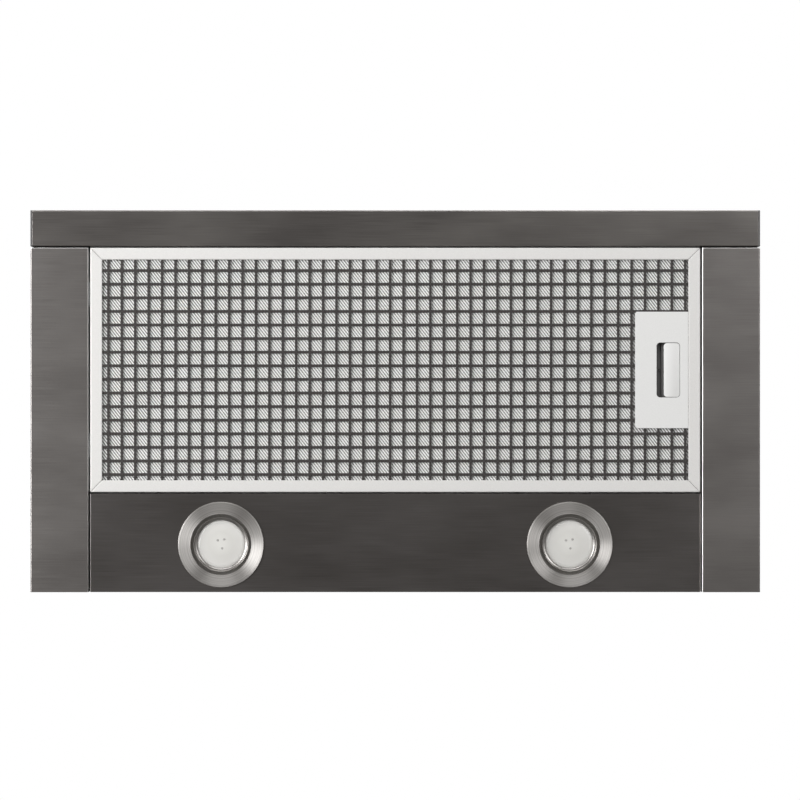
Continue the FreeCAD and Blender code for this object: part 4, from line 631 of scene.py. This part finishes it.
def make_slider(finish, base_finish):
    """The slider's grip with a crowned face and soft edges, on the plate that runs in the cup, made
    dark grey as painted shade deep in the slot.
    """
    corners = [vertex.co for vertex in nodes["latch_slider"].data.vertices]
    low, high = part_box("latch_slider")
    face = [corner for corner in corners if corner.z < low.z + 0.01 * MM]
    base = min(corner.z for corner in corners if corner.x < low.x + 0.1 * MM)
    left, right = min(corner.x for corner in face), max(corner.x for corner in face)
    front, rear = min(corner.y for corner in face), max(corner.y for corner in face)
    grip = cube("latch_grip", (left, front, low.z), (right, rear, base + 0.2 * MM))
    bpy.ops.object.mode_set(mode="EDIT")
    bpy.ops.mesh.select_all(action="DESELECT")
    for edge in bmesh.from_edit_mesh(grip.data).edges:
        edge.select = abs(edge.verts[0].co.z - edge.verts[1].co.z) > 1 * MM
    bpy.ops.mesh.select_mode(type="EDGE")
    bpy.ops.mesh.bevel(offset=GRIP_CORNER, segments=8, affect="EDGES")
    bpy.ops.object.mode_set(mode="OBJECT")
    middle = ((left + right) / 2, (front + rear) / 2, low.z + GRIP_CROWN)
    bpy.ops.object.select_all(action="DESELECT")
    bpy.ops.mesh.primitive_cylinder_add(vertices=360, radius=GRIP_CROWN, depth=80 * MM,
                                        location=middle, rotation=(math.pi / 2, 0, 0))
    tool = settle(bpy.context.object, "crown")
    modify(grip, "BOOLEAN", operation="INTERSECT", object=tool)
    bpy.data.objects.remove(tool)
    soften(grip, GRIP_EDGE, segments=4)
    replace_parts(finish_piece(grip, "latch", finish), "latch_slider")
    plate = soften(cube("latch_plate_slide", (low.x, low.y, base), high), 0.3 * MM)
    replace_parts(finish_piece(plate, "latch", base_finish), "latch_slider")


def make_spring(finish):
    """Coil spring of drawn wire behind the slider; it keeps one length here, though the real one
    shortens as the slider goes back.
    """
    low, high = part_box("latch_spring")
    wire, turns = 0.2 * MM, 12
    coil = (high.y - low.y) / 2 - wire
    length = high.x - low.x
    bpy.ops.object.select_all(action="DESELECT")
    bpy.ops.mesh.primitive_circle_add(vertices=8, radius=wire, location=(coil, 0, 0),
                                      rotation=(math.pi / 2, 0, 0))
    spring = settle(bpy.context.object, "latch_coil_spring")
    modify(spring, "SCREW", angle=2 * math.pi, iterations=turns, steps=20, render_steps=20,
           screw_offset=(length - 2 * wire) / turns)
    bpy.ops.object.mode_set(mode="EDIT")
    bpy.ops.mesh.select_all(action="DESELECT")
    bpy.ops.mesh.select_non_manifold()
    bpy.ops.mesh.edge_face_add()
    bpy.ops.mesh.select_all(action="SELECT")
    bpy.ops.mesh.normals_make_consistent(inside=False)
    bpy.ops.object.mode_set(mode="OBJECT")
    spring.rotation_euler = (0, math.pi / 2, 0)
    spring.location = (low.x + wire, (low.y + high.y) / 2, (low.z + high.z) / 2)
    settle(spring, "latch_coil_spring")
    bpy.ops.object.shade_smooth_by_angle(angle=math.radians(60))
    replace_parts(finish_piece(spring, "filter", finish), "latch_spring")
    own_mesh(spring)


# ---------------------------------------------------------------- small metalwork and glass

HEAD_HIGH, HEAD_HALF = 2.2 * MM, 3.6 * MM      # the screws' heads in the frame

def cross_screw(name, place, turn):
    """Pan-head screw with a cross recess; it is made head down, then turned and placed."""
    head = rings(name, (0, 0), [
        (0, -HEAD_HIGH), (1.6 * MM, -2.1 * MM), (2.9 * MM, -1.6 * MM), (3.5 * MM, -0.7 * MM),
        (3.5 * MM, 0), (1.9 * MM, 0), (1.9 * MM, 2.6 * MM), (1.5 * MM, 2.9 * MM), (0, 2.9 * MM)],
        steps=32)
    long, thin = 2.0 * MM, 0.35 * MM
    for wide, deep in ((long, thin), (thin, long)):
        tool = cube("recess", (-wide, -deep, -3 * MM), (wide, deep, -1.3 * MM))
        modify(head, "BOOLEAN", operation="DIFFERENCE", object=tool)
        bpy.data.objects.remove(tool)
    bpy.ops.object.shade_smooth_by_angle(angle=math.radians(35))
    head.matrix_world = Matrix.Translation(place) @ turn
    return settle(head, name)


def make_screws(finish):
    """The screws of the spigot and the blower in the top plate, and those of the drawer's arms."""
    low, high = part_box("duct_spigot")
    middle = (low + high) / 2
    flange = (high.x - low.x) / 2
    flange_wide, flange_below_rim = 14.5 * MM, 32.5 * MM
    ring = (flange + flange - flange_wide) / 2 * math.sqrt(0.5)
    seat = HOOD_HIGH.z - flange_below_rim
    head_up = Matrix.Rotation(math.pi, 4, "X")
    tops = [cross_screw("screw", (x * ring, middle.y + y * ring, seat), head_up)
            for x in (-1, 1) for y in (-1, 1)]

    scroll_low, scroll_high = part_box("scroll_right")
    flange_sheet, side_inset, front_inset, rear_inset = 2 * MM, 6 * MM, 8 * MM, 104 * MM
    under = scroll_high.z - flange_sheet
    across = scroll_high.x - side_inset
    head_down = Matrix.Identity(4)
    for x in (-1, 1):
        for y in (scroll_low.y + front_inset, scroll_low.y + rear_inset):
            tops.append(cross_screw("screw", (x * across, y, under), head_down))
    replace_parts(finish_piece(join("top_screws", tops), "hood", finish), "top_plate_screws")

    low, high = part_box("drawer_arm_screws")
    head_rear = Matrix.Rotation(math.pi / 2, 4, "X")
    arms = [cross_screw("screw", (x, high.y - HEAD_HIGH, z), head_rear)
            for x in (low.x + HEAD_HALF, high.x - HEAD_HALF)
            for z in (low.z + HEAD_HALF, high.z - HEAD_HALF)]
    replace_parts(finish_piece(join("arm_screws", arms), "drawer", finish),
                "drawer_arm_screws")


def make_capacitor(finish):
    """Run capacitor: drawn can with a rolled rim and two blade terminals at its lower end."""
    low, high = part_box("run_capacitor")
    middle = (low + high) / 2
    radius = (high.x - low.x) / 2
    can = rings("can", (middle.x, middle.y), [
        (0, low.z + 8 * MM), (radius - 2 * MM, low.z + 8 * MM), (radius - 1.2 * MM, low.z + 6.6 * MM),
        (radius, low.z + 7.2 * MM), (radius, low.z + 9 * MM), (radius - 0.8 * MM, low.z + 10 * MM),
        (radius - 0.4 * MM, low.z + 11.5 * MM), (radius - 0.4 * MM, high.z - 1.5 * MM),
        (radius - 2 * MM, high.z), (0, high.z)])
    blades = [soften(cube("blade", (middle.x + x - 0.4 * MM, middle.y - 3.1 * MM, low.z),
                          (middle.x + x + 0.4 * MM, middle.y + 3.1 * MM, low.z + 9 * MM)), 0.25 * MM)
              for x in (-5 * MM, 5 * MM)]
    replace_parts(finish_piece(join("capacitor", [can] + blades), "hood", finish),
                "run_capacitor")


def make_plates(glass, lid_finish):
    """The visor with ground edges, and the terminal box's lid with a raised panel."""
    low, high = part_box("visor")
    pane = soften(cube("visor_pane", low, high), 1.0 * MM, segments=3)
    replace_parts(finish_piece(pane, "drawer", glass), "visor")
    low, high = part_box("terminal_lid")
    lid = cube("terminal_cover", low, high)
    bpy.ops.object.mode_set(mode="EDIT")
    bpy.ops.mesh.select_all(action="DESELECT")
    faces = bmesh.from_edit_mesh(lid.data)
    for face in faces.faces:
        face.select = face.normal.z < -0.5
    bmesh.update_edit_mesh(lid.data)
    bpy.ops.mesh.inset(thickness=6 * MM, depth=0)
    bpy.ops.mesh.inset(thickness=1 * MM, depth=-0.7 * MM)
    bpy.ops.object.mode_set(mode="OBJECT")
    soften(lid, 0.4 * MM)
    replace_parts(finish_piece(lid, "hood", lid_finish), "terminal_lid")


# ---------------------------------------------------------------- making it all

def main():
    """Studio, a finish for every piece of the frame, then the pieces that are drawn finer."""
    make_camera()
    make_studio()
    # Colours and gloss; the grains in mm are coarser than real ones, so that they show.
    # Moulded plastics: a soft even sheen over a faint grain.
    latch = plain_finish("moulded_white_abs", "e6e6e5", "eeeeed", 0.0, 0.38, 0.4, 0.04)
    grey = plain_finish("moulded_grey_abs", "5b5a5a", "6a6969", 0.0, 0.45, 0.35)
    # Drawn wire: small sharp lights along each turn of the spring.
    steel_wire = plain_finish("bright_spring_steel", "9c9b99", "bdbcba", 1.0, 0.22, 0.3)
    # Glazed ceramic: cream, with a clear light on each rib.
    ceramic = plain_finish("glazed_ceramic", "dbd7cc", "e6e3da", 0.0, 0.25, 0.8)
    # Zinc plate: cool bright metal that sets the screws off from the black and grey round them.
    zinc_plate = plain_finish("bright_zinc_plate", "9a9da0", "c0c2c3", 1.0, 0.28, 0.8)
    # Drawn aluminium: a paler and softer metal than the zinc.
    can = plain_finish("drawn_aluminium_can", "b3b4b5", "cfd0d1", 1.0, 0.34, 0.6)
    # Open strands catch light from all sides, so they look white; metallic is low to match that.
    strand = plain_finish("bright_expanded_aluminium", "fcfcfb", "ffffff", 0.05, 0.4, 0.5)
    # Glass: the visor clear with a green cast, the lamps pale and soft.
    glass = clear_glass("toughened_glass")
    lamp_glass = frosted_glass("frosted_lamp_glass", 1)
    # Brushed stainless: the panel is darker than the channels, and the fascia lies between.
    # The channels' inner bends and front ends and the panel's ends get painted highlights, a paler
    # colour for the light on the bends.
    low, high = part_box("side_channel_right")
    sides = brushed_steel("brushed_stainless_sides", "938f8d", "b1adab", 0.33, highlight_lines=[
        ("X", low.x + 0.25 * MM, 0.25 * MM), ("Y", low.y + 0.3 * MM, 0.4 * MM)])
    low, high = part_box("lamp_panel")
    panel = brushed_steel("brushed_stainless_panel", "7a7674", "959190", foot=low.z, highlight_lines=[
        ("X", high.x - 0.2 * MM, 0.25 * MM)])
    # Polished ring: one even bright line between the bezel and the glass.
    ring_finish = plain_finish("polished_ring_steel", "a5a29f", "bdbab7", 1.0, 0.3, 0.6, 0.05)
    by_slot = {
        "brushed_steel": panel,
        "galvanised": spangled_zinc("galvanised_sheet"),
        "bezel": ring_finish,
        "lamp_glass": lamp_glass,
        "ceramic": ceramic,
        "grey_plastic": grey,
        "white_plastic": latch,
        "spring_steel": steel_wire,
        "mesh": strand,
        "grille": plain_finish("dull_punched_aluminium", "3f3c3b", "4d4a49", 0.4, 0.5, 0.5),
        "frame": rolled_frame("satin_rolled_aluminium"),
        "zinc": zinc_plate,
        "visor_glass": glass,
        "nylon": plain_finish("moulded_nylon", "dcdad0", "e9e7de", 0.0, 0.4, 0.6),
        "black_plastic": plain_finish("moulded_black_polypropylene", "1c1c1d", "2a2a2b", 0.0, 0.5,
                                      0.4),
        "motor_steel": plain_finish("black_motor_enamel", "222223", "303032", 0.2, 0.4, 0.7),
        "copper_iron": plain_finish("laminated_iron", "6d5a4c", "8a7260", 0.6, 0.5, 0.5),
        "capacitor_can": can}
    by_node = {"side_channel_left": sides, "side_channel_right": sides,
               "fascia": brushed_steel("brushed_stainless_fascia", "868280", "aaa6a3"),
               "lamp_bezel_left": turned_steel("turned_stainless_left", -1),
               "lamp_bezel_right": turned_steel("turned_stainless_right", 1),
               # The latch cup takes the grey plastic in place of the white latch plastic: painted
               # shade in the slot's recess.
               "latch_cup": grey}
    symbols = {"off": [("ring", 2.0, 0.3)], "low": [("bar", 0.0, 0.45)],
               "medium": [("bar", -1.2, 0.45), ("bar", 1.2, 0.45)],
               "high": [("bar", -2.4, 0.45), ("bar", 0.0, 0.45), ("bar", 2.4, 0.45)],
               "light": [("ring", 0.6, 0.6), ("ring", 2.4, 0.2)]}
    for title, marks in symbols.items():
        button = "button_" + title
        by_node[button] = printed_button("printed_" + button, button, marks)
    # A node's own finish comes first, and its slot's finish otherwise.
    slots = {row["node"]: row["material_slot"] for row in frame["record"]["subparts"]}
    for name, piece in nodes.items():
        piece.data.materials.clear()
        piece.data.materials.append(by_node.get(name) or by_slot[slots[name]])
    # The deeper strands get less light than the open ones, so each set has a darker tone, as painted
    # shade.
    shaded = plain_finish("shaded_expanded_aluminium", "bab8b6", "cecccb", 0.2, 0.45, 0.5)
    deep = plain_finish("painted_shade_expanded_aluminium", "92908e", "a6a4a2", 0.3, 0.5, 0.5)
    # Contact pins: the drawn glass hides what is behind it, so soft grey pads on it stand for them.
    pins = plain_finish("frosted_contact_pins", "a9a7a4", "bdbbb8", 0.1, 0.45, 0.3)
    make_expanded_mesh(strand, shaded, deep, mesh_core_finish("painted_shade_mesh_core"))
    make_slider(latch, grey)
    make_spring(steel_wire)
    for side, sign in (("left", -1), ("right", 1)):
        make_lamp(side, sign, frosted_glass("frosted_glass_" + side, sign), pins, ceramic)
        make_ring(side, sign, ring_finish)
    make_screws(zinc_plate)
    make_capacitor(can)
    make_plates(glass, grey)


main()
